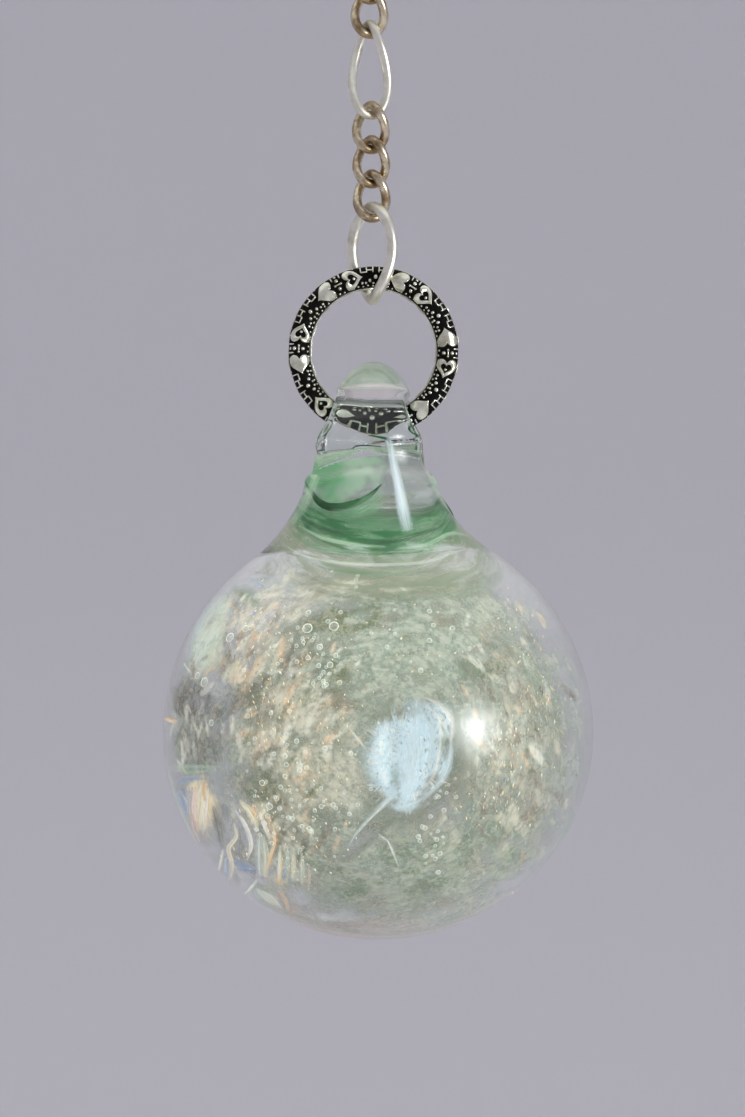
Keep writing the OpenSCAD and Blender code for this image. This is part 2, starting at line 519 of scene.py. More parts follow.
def make_clear_glass():
    material, tree, shader = new_material("clear glass")
    plug(tree, shader, {
        "Base Color": rgb(250, 254, 251), "Roughness": 0.0, "IOR": GLASS_BEND, "Transmission Weight": 1.0,
    })
    through = add_node(tree, "BsdfTransparent", {"Color": rgb(246, 250, 246)})
    is_shadow = add_node(tree, "LightPath").outputs["Is Shadow Ray"]
    mixed = add_node(tree, "MixShader", {0: is_shadow, 1: shader.outputs[0], 2: through.outputs[0]})
    plug(tree, tree.nodes["Material Output"], {"Surface": mixed.outputs[0]})
    return material


def make_cloud():
    """Powdered pale glass in a thin ragged sheet, clear in its gaps, as thick as its cover attribute says."""
    material, tree, shader = new_material("cream cloud")
    place = place_in(tree)
    drawn = turned(tree, place, scale=(1.0, 1.0, 0.7))
    ragged = use_group(tree, patches, {"Place": drawn, "Size": 230.0, "Cover": 0.56, "Edge": 0.15})
    dust = clouds_of(tree, place, 4200.0, 0.0, 0.6)
    tone = clouds_of(tree, place, 380.0, 2.0, 0.6)
    colour = blend_colours(tree, ramp(tree, tone, 0.5, 0.68), rgb(168, 176, 163), rgb(188, 176, 154))
    colour = blend_colours(tree, ramp(tree, tone, 0.46, 0.34), colour, rgb(126, 138, 112))
    thick = times(tree, ragged["Mask"], attribute_of(tree, "cover"), ramp(tree, dust, 0.3, 0.7, 0.45, 1.0))
    # 0.22 is a painted glow that lifts the cloud where the glass in front shades it
    dress_with_painted_glow(tree, shader, colour, 0.22, 0.6, thick)
    return material


def make_drawn_glass(name, glow):
    """Thin streaky sheets of glass that take their colour and thickness from the piece's own attributes, with
    a painted glow as strong as glow says.
    """
    material, tree, shader = new_material(name)
    streaks = clouds_of(tree, attribute_of(tree, "drawn", "Vector"), 1.7, 2.0, 0.65)
    tint = attribute_of(tree, "tint", "Color")
    bright = blend_colours(tree, ramp(tree, streaks, 0.52, 0.75, 0.0, 0.4), tint, rgb(240, 238, 228))
    thick = times(tree, attribute_of(tree, "cover"), ramp(tree, streaks, 0.28, 0.52, 0.3, 1.0))
    dress_with_painted_glow(tree, shader, bright, glow, 0.3, thick)
    return material


def make_mottled_glass():
    """Thin crumbled glass that takes its colour and thickness from the piece's own attributes."""
    material, tree, shader = new_material("mottled glass")
    place = place_in(tree)
    crumbs = use_group(tree, patches, {"Place": place, "Size": 520.0, "Cover": 0.52, "Edge": 0.09})
    streaks = clouds_of(tree, attribute_of(tree, "drawn", "Vector"), 1.0, 2.0, 0.62)
    grain = weigh(tree, 0.35, crumbs["Mask"], crumbs["Grain"])
    tint = attribute_of(tree, "tint", "Color")
    lit = blend_colours(tree, ramp(tree, grain, 0.46, 0.74, 0.0, 0.32), tint, rgb(228, 218, 200))
    sunk = blend_colours(tree, ramp(tree, grain, 0.46, 0.24, 0.0, 0.34), lit, rgb(112, 116, 94))
    broken = ramp(tree, crumbs["Mask"], 0.0, 1.0, 0.7, 1.0)
    thick = times(tree, broken, attribute_of(tree, "cover"), ramp(tree, streaks, 0.34, 0.6, 0.6, 1.0))
    # 0.14 is a painted glow
    dress_with_painted_glow(tree, shader, sunk, 0.14, 0.5, thick)
    return material


def make_bubbles_with_painted_rims():
    """A bubble's painted bright ring round its clear middle: a painted reflection that thickens towards its
    rim, with a painted glow.
    """
    material, tree, shader = new_material("air with painted bright rims")
    rim = add_node(tree, "LayerWeight", {"Blend": 0.5}).outputs["Facing"]
    dress_with_painted_glow(tree, shader, rgb(236, 240, 232), 0.35, 0.2, ramp(tree, rim, 0.3, 0.65, 0.1, 0.95))
    return material


def make_strata():
    """Green glass drawn out in layers that dip towards the front, fading to cream below."""
    material, tree, shader = new_material("green strata")
    place = place_in(tree)
    centred = vector_maths(tree, "SUBTRACT", place, (0, 0, wire_z))
    tilted = turned(tree, centred, rotation=(math.radians(-20), math.radians(-3), 0))
    height = along_axis(tree, tilted, "Z")
    drawn = turned(tree, tilted, scale=(0.09, 0.09, 1.0))
    layers = clouds_of(tree, drawn, 2600.0, 4.0, 0.6, 0.5)
    broad = clouds_of(tree, drawn, 760.0, 3.0, 0.5)
    mixed = weigh(tree, 0.65, layers, broad)
    greens = blend_colours(tree, ramp(tree, mixed, 0.42, 0.58), rgb(28, 98, 50), rgb(122, 174, 128))
    creams = blend_colours(tree, ramp(tree, mixed, 0.42, 0.58), rgb(130, 140, 116), rgb(174, 175, 154))
    colour = blend_colours(tree, ramp(tree, height, -6.9 * MM, -8.0 * MM), greens, creams)
    top_fade = ramp(tree, height, -4.9 * MM, -6.1 * MM)
    low_fade = ramp(tree, height, -11.2 * MM, -7.6 * MM)
    streaks = ramp(tree, mixed, 0.62, 0.42, 0.15, 1.0)
    in_front = ramp(tree, along_axis(tree, place, "Y"), 3.0 * MM, 0.0, 0.0, 0.92)
    # 0.12 is a painted glow
    dress_with_painted_glow(tree, shader, colour, 0.12, 0.4, times(tree, top_fade, low_fade, streaks, in_front))
    return material


def make_milk():
    """A milky pale green under the loop's surface, with a rose line along its lower edge that is a painted
    highlight.
    """
    material, tree, shader = new_material("milky green")
    place = place_in(tree)
    clouds = clouds_of(tree, place, 240.0, 4.0, 0.6)
    greens = blend_colours(tree, ramp(tree, clouds, 0.4, 0.62), rgb(164, 176, 160), rgb(182, 189, 176))
    painted_edge_highlight = ramp(tree, along_axis(tree, place, "Z"), wire_z + 2.95 * MM, wire_z + 2.7 * MM)
    plug(tree, shader, {
        "Base Color": blend_colours(tree, painted_edge_highlight, greens, rgb(174, 162, 170)),
        "Roughness": 0.6,
        "Alpha": ramp(tree, clouds, 0.3, 0.7, 0.7, 0.9),
    })
    return material


def make_splinter_glass():
    """Broken glass that flashes white, gold, orange and blue."""
    material, tree, shader = new_material("prismatic splinters")
    place = place_in(tree)
    hue = clouds_of(tree, place, 1100.0, 2.0, 0.6)
    warm = blend_colours(tree, ramp(tree, hue, 0.44, 0.62), rgb(250, 242, 220), rgb(240, 204, 154))
    colour = blend_colours(tree, ramp(tree, hue, 0.42, 0.3), warm, rgb(140, 158, 206))
    # 0.3 is a painted glow
    dress_with_painted_glow(tree, shader, colour, 0.3, 0.2)
    return material


def make_tinted(name, colour, deep, size, detail, grain, glow, roughness):
    """Solid coloured glass, each part of it a little different in tone, with a painted glow as strong as glow
    says.
    """
    material, tree, shader = new_material(name)
    place = place_in(tree)
    tone = clouds_of(tree, place, size, detail, grain)
    mixed = blend_colours(tree, ramp(tree, tone, 0.35, 0.65), colour, deep)
    dress_with_painted_glow(tree, shader, mixed, glow, roughness)
    return material


# Shape of the glass drop

def smooth_max(first, second, width):
    share = np.clip(0.5 + 0.5 * (first - second) / width, 0, 1)
    return second + (first - second) * share + width * share * (1 - share)


def neck_field(x, y, z):
    """Negative inside the neck and loop, in millimetres from the ring's wire."""
    ball_drop = (wire_z - ball_z) / MM
    flare_x = NECK_R + FLARE_R
    flare_z = math.sqrt((ball_r / MM + FLARE_R) ** 2 - flare_x ** 2) - ball_drop
    loop_top = (drop_high.z - wire_z) / MM
    power = 2 + LOOP_SQUARENESS * (1 - rise(-z, *SQUARE_FADE))
    lean = LOOP_LEAN * (1 - rise(-z, *LEAN_FADE))
    shoulder = rise(-z, *SHOULDER_RISE) * (1 - rise(-z, *SHOULDER_FADE))
    shift = NECK_SHIFT * rise(-z, *SHIFT_RISE) * (1 - rise(-z, *SHIFT_FADE))
    across = np.abs(x - shift - lean * y) / (1 + SHOULDER * shoulder)
    deep = np.abs(y)
    girth = ((across / LOOP_HALF_W) ** power + (deep / LOOP_HALF_D) ** power) ** (1 / power)
    height = (z - loop_top + LOOP_SEMI_H) / LOOP_SEMI_H
    loop = (np.sqrt(girth ** 2 + height ** 2) - 1) * LOOP_HALF_W
    fall = np.clip(flare_z - z, 0, FLARE_R * 0.95)
    flare = (across ** power + deep ** power) ** (1 / power) - flare_x + np.sqrt(FLARE_R ** 2 - fall ** 2)
    share = rise(-z, *FLARE_RISE)
    return loop * (1 - share) + flare * share


def glass_field(points):
    """Negative inside the glass drop, zero on its surface, in millimetres."""
    x, y, z = (points / MM).T
    z = z - wire_z / MM
    ball_drop = (wire_z - ball_z) / MM
    radius = ball_r / MM
    from_middle = z + ball_drop
    squash = np.where(from_middle < 0, ball_r / ball_lower_h, 1.0)
    ball = np.sqrt(x ** 2 + y ** 2 + (from_middle * squash) ** 2) - radius
    flare_x = NECK_R + FLARE_R
    tangent_up = math.sqrt((radius + FLARE_R) ** 2 - flare_x ** 2) * radius / (radius + FLARE_R)
    body = np.where(from_middle > tangent_up, neck_field(x, y, z), ball)
    in_front = rise(-y, *FRONT_RISE)
    seam = np.exp(-((z - SEAM_Z - SEAM_LEAN * x) / SEAM_HALF_H) ** 2)
    swell = np.exp(-((z - STRAND_Z) / STRAND_HALF_H) ** 2)
    body = body + (SEAM_DEPTH * seam - STRAND_SWELL * swell) * in_front
    ring_run = ring_r / MM
    opening = ring_run - np.sqrt(ring_run ** 2 - np.minimum(np.abs(x), ring_run) ** 2)
    upwards = rise(z + HOLE_DROP, *MOUTH_RISE)
    opening = np.minimum(opening, HOLE_MOUTH) * (MOUTH_BELOW + (1 - MOUTH_BELOW) * upwards)
    half_d = HOLE_HALF_D + opening
    half_h = HOLE_HALF_H + opening
    share_d = (np.abs(y) / half_d) ** HOLE_POWER
    share_h = (np.abs(z + HOLE_DROP) / half_h) ** HOLE_POWER
    hole = (1 - (share_d + share_h) ** (1 / HOLE_POWER)) * half_d
    return np.where(z > HOLE_REACH, smooth_max(body, hole, HOLE_LIP), body)


def glass_slope(points):
    step = 0.02 * MM
    slope = np.empty_like(points)
    for axis in range(3):
        shift = np.zeros(3)
        shift[axis] = step
        slope[:, axis] = (glass_field(points + shift) - glass_field(points - shift)) / (2 * step)
    return slope


def onto_glass(points, depth=0.0, steps=4):
    """Moves points to the glass surface, or to a surface that lies depth under it."""
    for _ in range(steps):
        slope = glass_slope(points)
        miss = glass_field(points) + depth / MM
        points = points - slope * (miss / np.maximum((slope ** 2).sum(1), 1e-9))[:, None]
    return points


def relax_on_glass(piece, rounds, depth=0.0):
    """Evens out the mesh while it is held to the glass surface."""
    points = onto_glass(points_of(piece), depth)
    ends = np.empty(len(piece.data.edges) * 2, int)
    piece.data.edges.foreach_get("vertices", ends)
    first, second = ends.reshape(-1, 2).T
    count = np.bincount(ends, minlength=len(points))[:, None]
    for _ in range(rounds):
        total = np.empty_like(points)
        for axis in range(3):
            total[:, axis] = (
                np.bincount(first, points[second, axis], len(points))
                + np.bincount(second, points[first, axis], len(points))
            )
        points = onto_glass((points + total / count) / 2, depth, 1)
    set_points(piece, onto_glass(points, depth))


def glass_blank():
    """Ball, cone and rounded loop fused into one rough blank with the loop's hole through it."""
    pick()
    bpy.ops.mesh.primitive_uv_sphere_add(segments=96, ring_count=48, radius=ball_r, location=(0, 0, ball_z))
    blank = bpy.context.object
    bpy.ops.mesh.primitive_cone_add(
        vertices=64, radius1=CONE_FOOT_R * MM, radius2=NECK_R * MM, depth=CONE_H * MM,
        location=(0, 0, wire_z - CONE_DROP * MM))
    cone = bpy.context.object
    bpy.ops.mesh.primitive_uv_sphere_add(
        segments=48, ring_count=24, radius=1, location=(0, 0, wire_z - LOOP_DROP * MM))
    loop = bpy.context.object
    loop.scale = (LOOP_HALF_W * MM, LOOP_HALF_D * MM, LOOP_SEMI_H * MM)
    settle(loop)
    join(blank, cone, loop)
    settle(blank)
    apply_modifier(blank, "REMESH", mode="VOXEL", voxel_size=BLANK_GRAIN * MM)
    bpy.ops.mesh.primitive_cylinder_add(
        vertices=48, radius=CUTTER_R * MM, depth=CUTTER_L * MM,
        location=(0, 0, wire_z - HOLE_DROP * MM), rotation=(0, math.pi / 2, 0))
    cutter = settle(bpy.context.object)
    apply_modifier(blank, "BOOLEAN", operation="DIFFERENCE", object=cutter, solver="EXACT")
    bpy.data.objects.remove(cutter)
    apply_modifier(blank, "REMESH", mode="VOXEL", voxel_size=GLASS_GRAIN * MM)
    return blank


# Bubbles in the glass: a few large ones where they show, then clusters of small ones
LARGE_BUBBLES = (
    (310, 620, 0.44), (336, 618, 0.42), (233, 630, 0.42), (249, 621, 0.34), (207, 674, 0.42), (200, 668, 0.3),
    (214, 713, 0.26), (247, 661, 0.22), (322, 638, 0.26), (271, 793, 0.3), (264, 770, 0.26), (269, 803, 0.22),
    (308, 754, 0.2), (301, 757, 0.22), (278, 785, 0.22), (332, 655, 0.26), (341, 672, 0.22), (311, 605, 0.24),
)
# Middle of each cluster in the photograph, half width, half height, and how many
BUBBLE_CLUSTERS = (
    (290, 800, 30, 40, 52), (325, 665, 8, 18, 12), (430, 829, 14, 24, 20), (320, 635, 40, 26, 16),
    (400, 640, 120, 60, 26), (300, 740, 60, 60, 24), (440, 780, 16, 10, 10),
)
# How far a cluster's bubbles stray, as a share of its half sizes
CLUSTER_SPREAD = 0.6
# How far out bubbles lie, as shares of the ball's radius, and the small ones' radii in millimetres
LARGE_BUBBLE_REACH = 0.973
SMALL_BUBBLE_REACH = (0.972, 0.984)
SMALL_BUBBLE_R = (0.1, 0.22)


def reach_in_ball(px_x, px_y):
    """How far places of the photograph lie from the ball's middle, across and up, as shares of its radius.

    The last value is how much the ball's lower half is pressed flat there.
    """
    x = (np.asarray(px_x, float) - BALL_PX_X) * PHOTO_MM_PER_PX * MM / ball_r
    z = (BALL_PX_Y - np.asarray(px_y, float)) * PHOTO_MM_PER_PX * MM / ball_r
    squash = np.where(z < 0, ball_r / ball_lower_h, 1.0)
    return x, z * squash, squash


def seen_in_ball(px_x, px_y, depth_share):
    """Points in the ball that show at places of the photograph, on a sphere of that share of its radius."""
    x, z, squash = reach_in_ball(px_x, px_y)
    reach = np.maximum(np.hypot(x, z), 1e-9)
    enter = np.arcsin(np.minimum(reach, 0.998))
    bent = np.arcsin(np.sin(enter) / GLASS_BEND)
    inner = enter + bent - np.arcsin(np.sin(bent) / depth_share)
    out = np.sin(inner) / reach
    places = np.stack([x * out, -np.cos(inner), z * out / squash], axis=-1)
    return places * ball_r * depth_share + np.array(ball_centre)


def make_bubbles():
    """Round bubbles of air trapped in the glass."""
    chance = random.Random(SEEDS["bubbles"])
    places = [(seen_in_ball(x, y, LARGE_BUBBLE_REACH), r) for x, y, r in LARGE_BUBBLES]
    for x, y, half_w, half_h, count in BUBBLE_CLUSTERS:
        for _ in range(count):
            px_x = chance.gauss(x, half_w * CLUSTER_SPREAD)
            px_y = chance.gauss(y, half_h * CLUSTER_SPREAD)
            place = seen_in_ball(px_x, px_y, chance.uniform(*SMALL_BUBBLE_REACH))
            places.append((place, chance.uniform(*SMALL_BUBBLE_R)))
    pick()
    bpy.ops.mesh.primitive_ico_sphere_add(subdivisions=2, radius=1)
    ball = bpy.context.object
    shape = points_of(ball)
    shape_faces = [tuple(f.vertices) for f in ball.data.polygons]
    bpy.data.objects.remove(ball)
    points, faces = [], []
    for place, radius in places:
        start = len(points)
        points.extend(place + shape * radius * MM)
        faces.extend(tuple(start + i for i in face) for face in shape_faces)
    return mesh_piece("bubbles", points, faces)


# Cast ring

def heart_points(count):
    turn = 2 * math.pi * (np.arange(count) + 0.5) / count
    lobes = 13 * np.cos(turn) - 5 * np.cos(2 * turn) - 2 * np.cos(3 * turn) - np.cos(4 * turn)
    x = HEART_L * (lobes + 2.5) / 29
    y = HEART_W * np.sin(turn) ** 3 / 2
    return x, y


def heart_plate(along, facing, hollow):
    """A raised heart on the unrolled ring, its lobes towards facing."""
    pick()
    bpy.ops.mesh.primitive_circle_add(vertices=HEART_POINTS, radius=1, fill_type="NGON")
    plate = bpy.context.object
    x, y = heart_points(HEART_POINTS)
    foot = np.full(HEART_POINTS, -HEART_SINK)
    set_points(plate, np.column_stack([along + facing * x, facing * y, foot]))
    edit(plate)
    bpy.ops.mesh.extrude_region_move(TRANSFORM_OT_translate={"value": (0, 0, RELIEF_H + HEART_EXTRA)})
    for share, climb in HOLLOW_HEART_STEPS if hollow else SOLID_HEART_STEPS:
        bpy.ops.mesh.extrude_region_move(TRANSFORM_OT_translate={"value": (0, 0, climb)})
        bpy.ops.transform.resize(value=(share, share, 1))
    bpy.ops.mesh.poke()
    leave_edit()
    return plate


def ring_dot(along, across, radius):
    bpy.ops.mesh.primitive_uv_sphere_add(
        segments=10, ring_count=6, radius=radius, location=(along, across, BEAD_Z))
    dot = bpy.context.object
    dot.scale = (1, 1, BEAD_FLATNESS)
    return settle(dot)


def ring_bar(along, across, length, width):
    """A raised bar, length along the ring and width across it."""
    bpy.ops.mesh.primitive_cube_add(size=1, location=(along, across, BAR_Z))
    bar = bpy.context.object
    bar.scale = (length, width, BAR_DEPTH)
    settle(bar)
    edit(bar)
    bpy.ops.mesh.subdivide(number_cuts=2)
    leave_edit()
    apply_modifier(bar, "BEVEL", width=BAR_BEVEL, segments=1, limit_method="ANGLE")
    return bar


def heart_gap_relief(seen):
    """Beads and a little cross between the lobes of two hearts."""
    beads = [ring_dot(along, seen(across), radius) for along, across, radius in LOBE_BEADS]
    return beads + [ring_bar(along, seen(across), *size) for along, across, *size in LOBE_BARS]


def tip_gap_relief(tip_at, seen):
    """Bricks by the ring's outer edge and beads by its inner one, between the tips of two hearts."""
    parts = []
    for step in range(BRICKS):
        along = tip_at - BRICK_L * (BRICKS - 1) / 2 + BRICK_L * step
        parts.append(ring_bar(along, seen(BRICK_OUT), BRICK_SEAM, BRICK_W))
        if step % 3 != 2:
            course = seen(COURSE_OUT + COURSE_STEP * (step % 2))
            parts.append(ring_bar(along + BRICK_L / 2, course, BRICK_L, BRICK_SEAM))
    for side in (-1, 1):
        for along, across, radius in TIP_BEADS:
            parts.append(ring_dot(tip_at + side * along, seen(across), radius))
    across, radius = TIP_MIDDLE_BEAD
    parts.append(ring_dot(tip_at, seen(across), radius))
    return parts


def ring_cell(cell_l, core_r):
    """One sixth of the unrolled front: two hearts lobe to lobe, with beads and bricks that fill the gaps."""
    heart_at = HEART_SIDE * ring_r / MM
    edge = core_r * math.pi / 2

    def seen(across):
        return core_r * math.asin(max(-1, min(1, across / core_r)))

    parts = [heart_plate(heart_at, -1, False), heart_plate(-heart_at, 1, True)]
    parts += heart_gap_relief(seen) + tip_gap_relief(cell_l / 2, seen)
    along, radius = HOLLOW_BEAD
    parts.append(ring_dot(-heart_at + along, 0, radius))
    for side in (-1, 1):
        for along in EDGE_BARS:
            parts.append(ring_bar(side * heart_at + along, edge - EDGE_BAR_IN, *EDGE_BAR))
        along, across, radius = SIDE_BEAD
        parts.append(ring_dot(side * (heart_at + along), seen(across), radius))
    beads = round(cell_l / INNER_BEAD_GAP)
    for step in range(beads):
        along = (step + 0.5) * cell_l / beads - cell_l / 2
        across = seen(INNER_BEAD_OUT + INNER_BEAD_STAGGER * (step % 2))
        parts.append(ring_dot(along, across, INNER_BEAD_R))
    parts.append(ring_bar(0, -edge, cell_l, INNER_BAND_W))
    return join(*parts)


def make_cast_ring():
    core_r = ring_tube_r / MM - RELIEF_H
    cell_l = 2 * math.pi * ring_r / MM / HEART_PAIRS
    half_turn = math.pi * core_r
    relief = ring_cell(cell_l, core_r)
    apply_modifier(relief, "ARRAY", count=HEART_PAIRS, use_relative_offset=False, use_constant_offset=True,
                   constant_offset_displace=(cell_l, 0, 0))
    apply_modifier(relief, "ARRAY", count=2, use_relative_offset=False, use_constant_offset=True,
                   constant_offset_displace=(0, half_turn, 0))
    along, across, height = points_of(relief).T
    turn = math.pi + PATTERN_TURN + along * MM / ring_r
    tilt = across / core_r
    reach = ring_r + (core_r + height) * MM * np.sin(tilt)
    set_points(relief, np.column_stack([
        reach * np.cos(turn), -(core_r + height) * MM * np.cos(tilt), ring_z + reach * np.sin(turn)
    ]))
    pick()
    bpy.ops.mesh.primitive_torus_add(
        major_segments=144, minor_segments=32, major_radius=ring_r, minor_radius=core_r * MM,
        location=(0, 0, ring_z), rotation=(math.pi / 2, 0, 0))
    core = settle(bpy.context.object)
    return join(core, relief)


# Chain

def link_path(count, size, turns, middle_z, taper):
    """Points along the wire of a link whose plane turns from its top, the narrower end, to its bottom."""
    length, width, wire = size
    t = 2 * math.pi * (np.arange(count) + 0.5) / count
    across = np.sign(np.cos(t)) * np.abs(np.cos(t)) ** (2 / SQUARENESS) * (width - wire) / 2 * MM
    up = np.sign(np.sin(t)) * np.abs(np.sin(t)) ** (2 / SQUARENESS)
    across = across * (1 - taper * up)
    top, middle, bottom = turns
    turn = np.radians(middle + (top - bottom) / 2 * up + ((top + bottom) / 2 - middle) * up ** 2)
    return np.column_stack([
        across * np.cos(turn), -across * np.sin(turn), middle_z + up * (length - wire) / 2 * MM
    ])


def make_link(size, turns, node, taper=0.0):
    low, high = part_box(node)
    pick()
    bpy.ops.curve.primitive_bezier_circle_add(radius=1)
    link = bpy.context.object
    bpy.ops.object.mode_set(mode="EDIT")
    bpy.ops.curve.subdivide(number_cuts=11)
    leave_edit()
    spline = link.data.splines[0]
    path = link_path(len(spline.bezier_points), size, turns, (low.z + high.z) / 2, taper)
    for point, place in zip(spline.bezier_points, path):
        point.co = place
        let_curve_flow(point)
    link.data.resolution_u = 4
    link.data.bevel_depth = size[2] / 2 * MM
    link.data.bevel_resolution = 6
    pick(link)
    bpy.ops.object.convert(target="MESH")
    # Darker towards the bends, where the links touch: tarnished and painted shade
    reach = np.abs(points_of(link)[:, 2] - (low.z + high.z) / 2) / (high.z - low.z) * 2
    store_cover(link, BEND_TARNISH_AND_SHADE * rise(reach, *BEND_SHARE))
    return link


def make_hanging_ring():
    pick()
    outer = (hang_high.z - hang_low.z) / 2
    bpy.ops.mesh.primitive_torus_add(
        major_segments=128, minor_segments=24, major_radius=outer - HANG_WIRE / 2 * MM,
        minor_radius=HANG_WIRE / 2 * MM, location=(0, 0, hang_z),
        rotation=(math.pi / 2, 0, math.radians(90 - CHAIN_TURNS[0])))
    return bpy.context.object


# Glass inside the ball

FLECK_SHAPE = np.array([(-1, 0, 0), (1, 0, 0), (0, -1, 0), (0, 1, 0), (0, 0, -1), (0, 0, 1)], float)
FLECK_FACES = ((0, 2, 5), (2, 1, 5), (1, 3, 5), (3, 0, 5), (2, 0, 4), (1, 2, 4), (3, 1, 4), (0, 3, 4))

# The flecked cloud as it shows: its middle and half sizes in the photograph
CLOUD_PX = (402, 742, 176, 184)
# Where the cloud is thinner or thicker: middle, half sizes, and the change in its cover
CLOUD_SPOTS = (
    (335, 612, 42, 20, -0.8), (292, 660, 17, 13, -0.7), (335, 662, 11, 11, -0.45), (483, 660, 20, 15, -0.6),
    (258, 773, 20, 14, -0.6), (456, 824, 50, 22, -0.75), (500, 862, 28, 20, -0.6), (535, 795, 22, 28, -0.5),
    (350, 860, 60, 26, -0.35), (270, 700, 10, 26, -0.4), (405, 655, 55, 38, 0.5), (295, 695, 40, 24, 0.35),
    (255, 737, 22, 16, 0.6), (484, 775, 30, 24, 0.35), (390, 590, 90, 14, 0.3), (330, 780, 30, 20, 0.15),
)
# Where the glass in front of the wisp is clear: middle and half sizes in the photograph, and lean in degrees
WISP_CLEARINGS = ((411, 754, 54, 62, 0), (428, 712, 30, 22, 30), (370, 817, 42, 11, -47))
# Where a clearing, the cloud or a clump starts to fade or grow, and over how much
CLEARING_EDGE = (0.75, 0.4)
CLOUD_EDGE = (0.86, 0.16)
CLUMP_EDGE = (-0.25, 0.6)
CLOUD_THICKNESS = 0.62
CLEARING_STRENGTH = 0.94
# The cloud isn't cleared further back than this from the ball's middle, in millimetres
CLEARING_BACK = 0.8
# What a spot that thickens the cloud counts for, beside one that thins it
THICK_SPOT_SHARE = 0.6
BALL_MAGNIFIES = 1.5
# A thing's size beside how large it shows: in the ball's middle, and what a millimetre back takes off
SHRINK_MIDDLE = 0.68
SHRINK_PER_MM = 0.0175
# Fractal noises: dimension, lacunarity and octaves
CLUMP_NOISE = (0.8, 2.1, 4)
SHELL_NOISE = (1.0, 2.0, 3)
LEAF_NOISE = (0.9, 2.1, 4)
# Flecks: how many, the inner and outer radius that they lie between, the size of their clumps, and their
# least and greatest length and width, in millimetres, then their twist round the ball's axis, and seed
FLECKS = {
    "cream_flecks": (7000, 3.5, 12.2, 3.4, (0.05, 0.2), (0.02, 0.055), 0.5, 3),
    "gold_flecks": (900, 8.0, 12.2, 2.6, (0.08, 0.3), (0.03, 0.07), 0.1, 8),
}
TRIES_PER_FLECK = 12
# Below 1, more of the flecks lie towards the outer radius
FLECK_OUTWARDS = 0.6
# A fleck is kept where the cloud is thicker than a random share of this
FLECK_RARITY = 0.6
# How far a fleck strays from the drift, and how thick it is as a share of its width
FLECK_STRAY = 0.45
FLECK_FLATNESS = 0.3
# Axis that the molten glass was drawn round
SWIRL_AXIS = (0.25, 0.1, 1.0)
# Shells of the cloud: radius in millimetres and seed, then how high and long their ripples are
CLOUD_SHELLS = ((5.6, 3.0), (7.8, 5.0), (9.4, 6.0), (10.5, 7.0), (11.4, 9.0))
RIPPLE_H = 1.2
RIPPLE_L = 3.5


def shown_px(places):
    """Where points inside the ball show in the photograph, as the ball's glass magnifies them."""
    out = (places - np.array(ball_centre)) / MM
    shrink = SHRINK_MIDDLE - SHRINK_PER_MM * out[:, 1]
    px_x = BALL_PX_X + out[:, 0] / shrink / PHOTO_MM_PER_PX
    px_y = BALL_PX_Y - out[:, 2] / shrink / PHOTO_MM_PER_PX
    return px_x, px_y, out[:, 1]


def reach_in_oval(px_x, px_y, x, y, half_w, half_h, lean):
    """How far out places of the photograph lie in a leaning oval, whose rim is at 1."""
    turn = math.radians(lean)
    across = (px_x - x) * math.cos(turn) + (px_y - y) * math.sin(turn)
    down = (px_y - y) * math.cos(turn) - (px_x - x) * math.sin(turn)
    return np.hypot(across / half_w, down / half_h)


def wisp_clearing(px_x, px_y):
    reach = np.minimum.reduce([reach_in_oval(px_x, px_y, *oval) for oval in WISP_CLEARINGS])
    return 1 - rise(reach, *CLEARING_EDGE)


def cloud_cover(places):
    """How thick the flecked cloud is at each place, from 0 to 1."""
    px_x, px_y, deep = shown_px(places)
    x, y, half_w, half_h = CLOUD_PX
    reach = np.hypot((px_x - x) / half_w, (px_y - y) / half_h)
    cover = CLOUD_THICKNESS * (1 - rise(reach, *CLOUD_EDGE))
    for x, y, half_w, half_h, change in CLOUD_SPOTS:
        near = np.exp(-((px_x - x) / half_w) ** 2 - ((px_y - y) / half_h) ** 2)
        cover = cover * (1 + change * near * (1.0 if change < 0 else THICK_SPOT_SHARE))
    return cover * (1 - CLEARING_STRENGTH * wisp_clearing(px_x, px_y) * (deep < CLEARING_BACK))


def scatter_flecks(name, places, lengths, widths, drift, seed):
    """Thin grains of glass, one at each place, each lying roughly along the drift there."""
    chance = np.random.default_rng(seed)
    count = len(places)
    along = drift + chance.normal(0, FLECK_STRAY, (count, 3))
    along /= np.linalg.norm(along, axis=1)[:, None]
    side = np.cross(along, chance.normal(0, 1, (count, 3)))
    side /= np.linalg.norm(side, axis=1)[:, None]
    face = np.cross(along, side)
    points = (
        places[:, None, :]
        + FLECK_SHAPE[None, :, 0:1] * (along * lengths[:, None])[:, None, :]
        + FLECK_SHAPE[None, :, 1:2] * (side * widths[:, None])[:, None, :]
        + FLECK_SHAPE[None, :, 2:3] * (face * widths[:, None] * FLECK_FLATNESS)[:, None, :]
    )
    faces = [tuple(6 * i + v for v in face_of) for i in range(count) for face_of in FLECK_FACES]
    return mesh_piece(name, points.reshape(-1, 3), faces)


def cloud_places(count, inner, outer, clump, seed):
    """Places in a hollow ball of that inner and outer radius, kept where the cloud and its clumps are."""
    chance = np.random.default_rng(seed)
    tries = count * TRIES_PER_FLECK
    ways = chance.normal(0, 1, (tries, 3))
    ways /= np.linalg.norm(ways, axis=1)[:, None]
    radii = inner + (outer - inner) * chance.random(tries) ** FLECK_OUTWARDS
    places = ways * radii[:, None] * MM + np.array(ball_centre)
    spots = [Vector(place / MM / clump) + Vector((seed, 0, 0)) for place in places]
    clumps = np.array([noise.fractal(spot, *CLUMP_NOISE) for spot in spots])
    keep = cloud_cover(places) * rise(clumps, *CLUMP_EDGE) > chance.random(tries) * FLECK_RARITY
    return places[keep][:count]


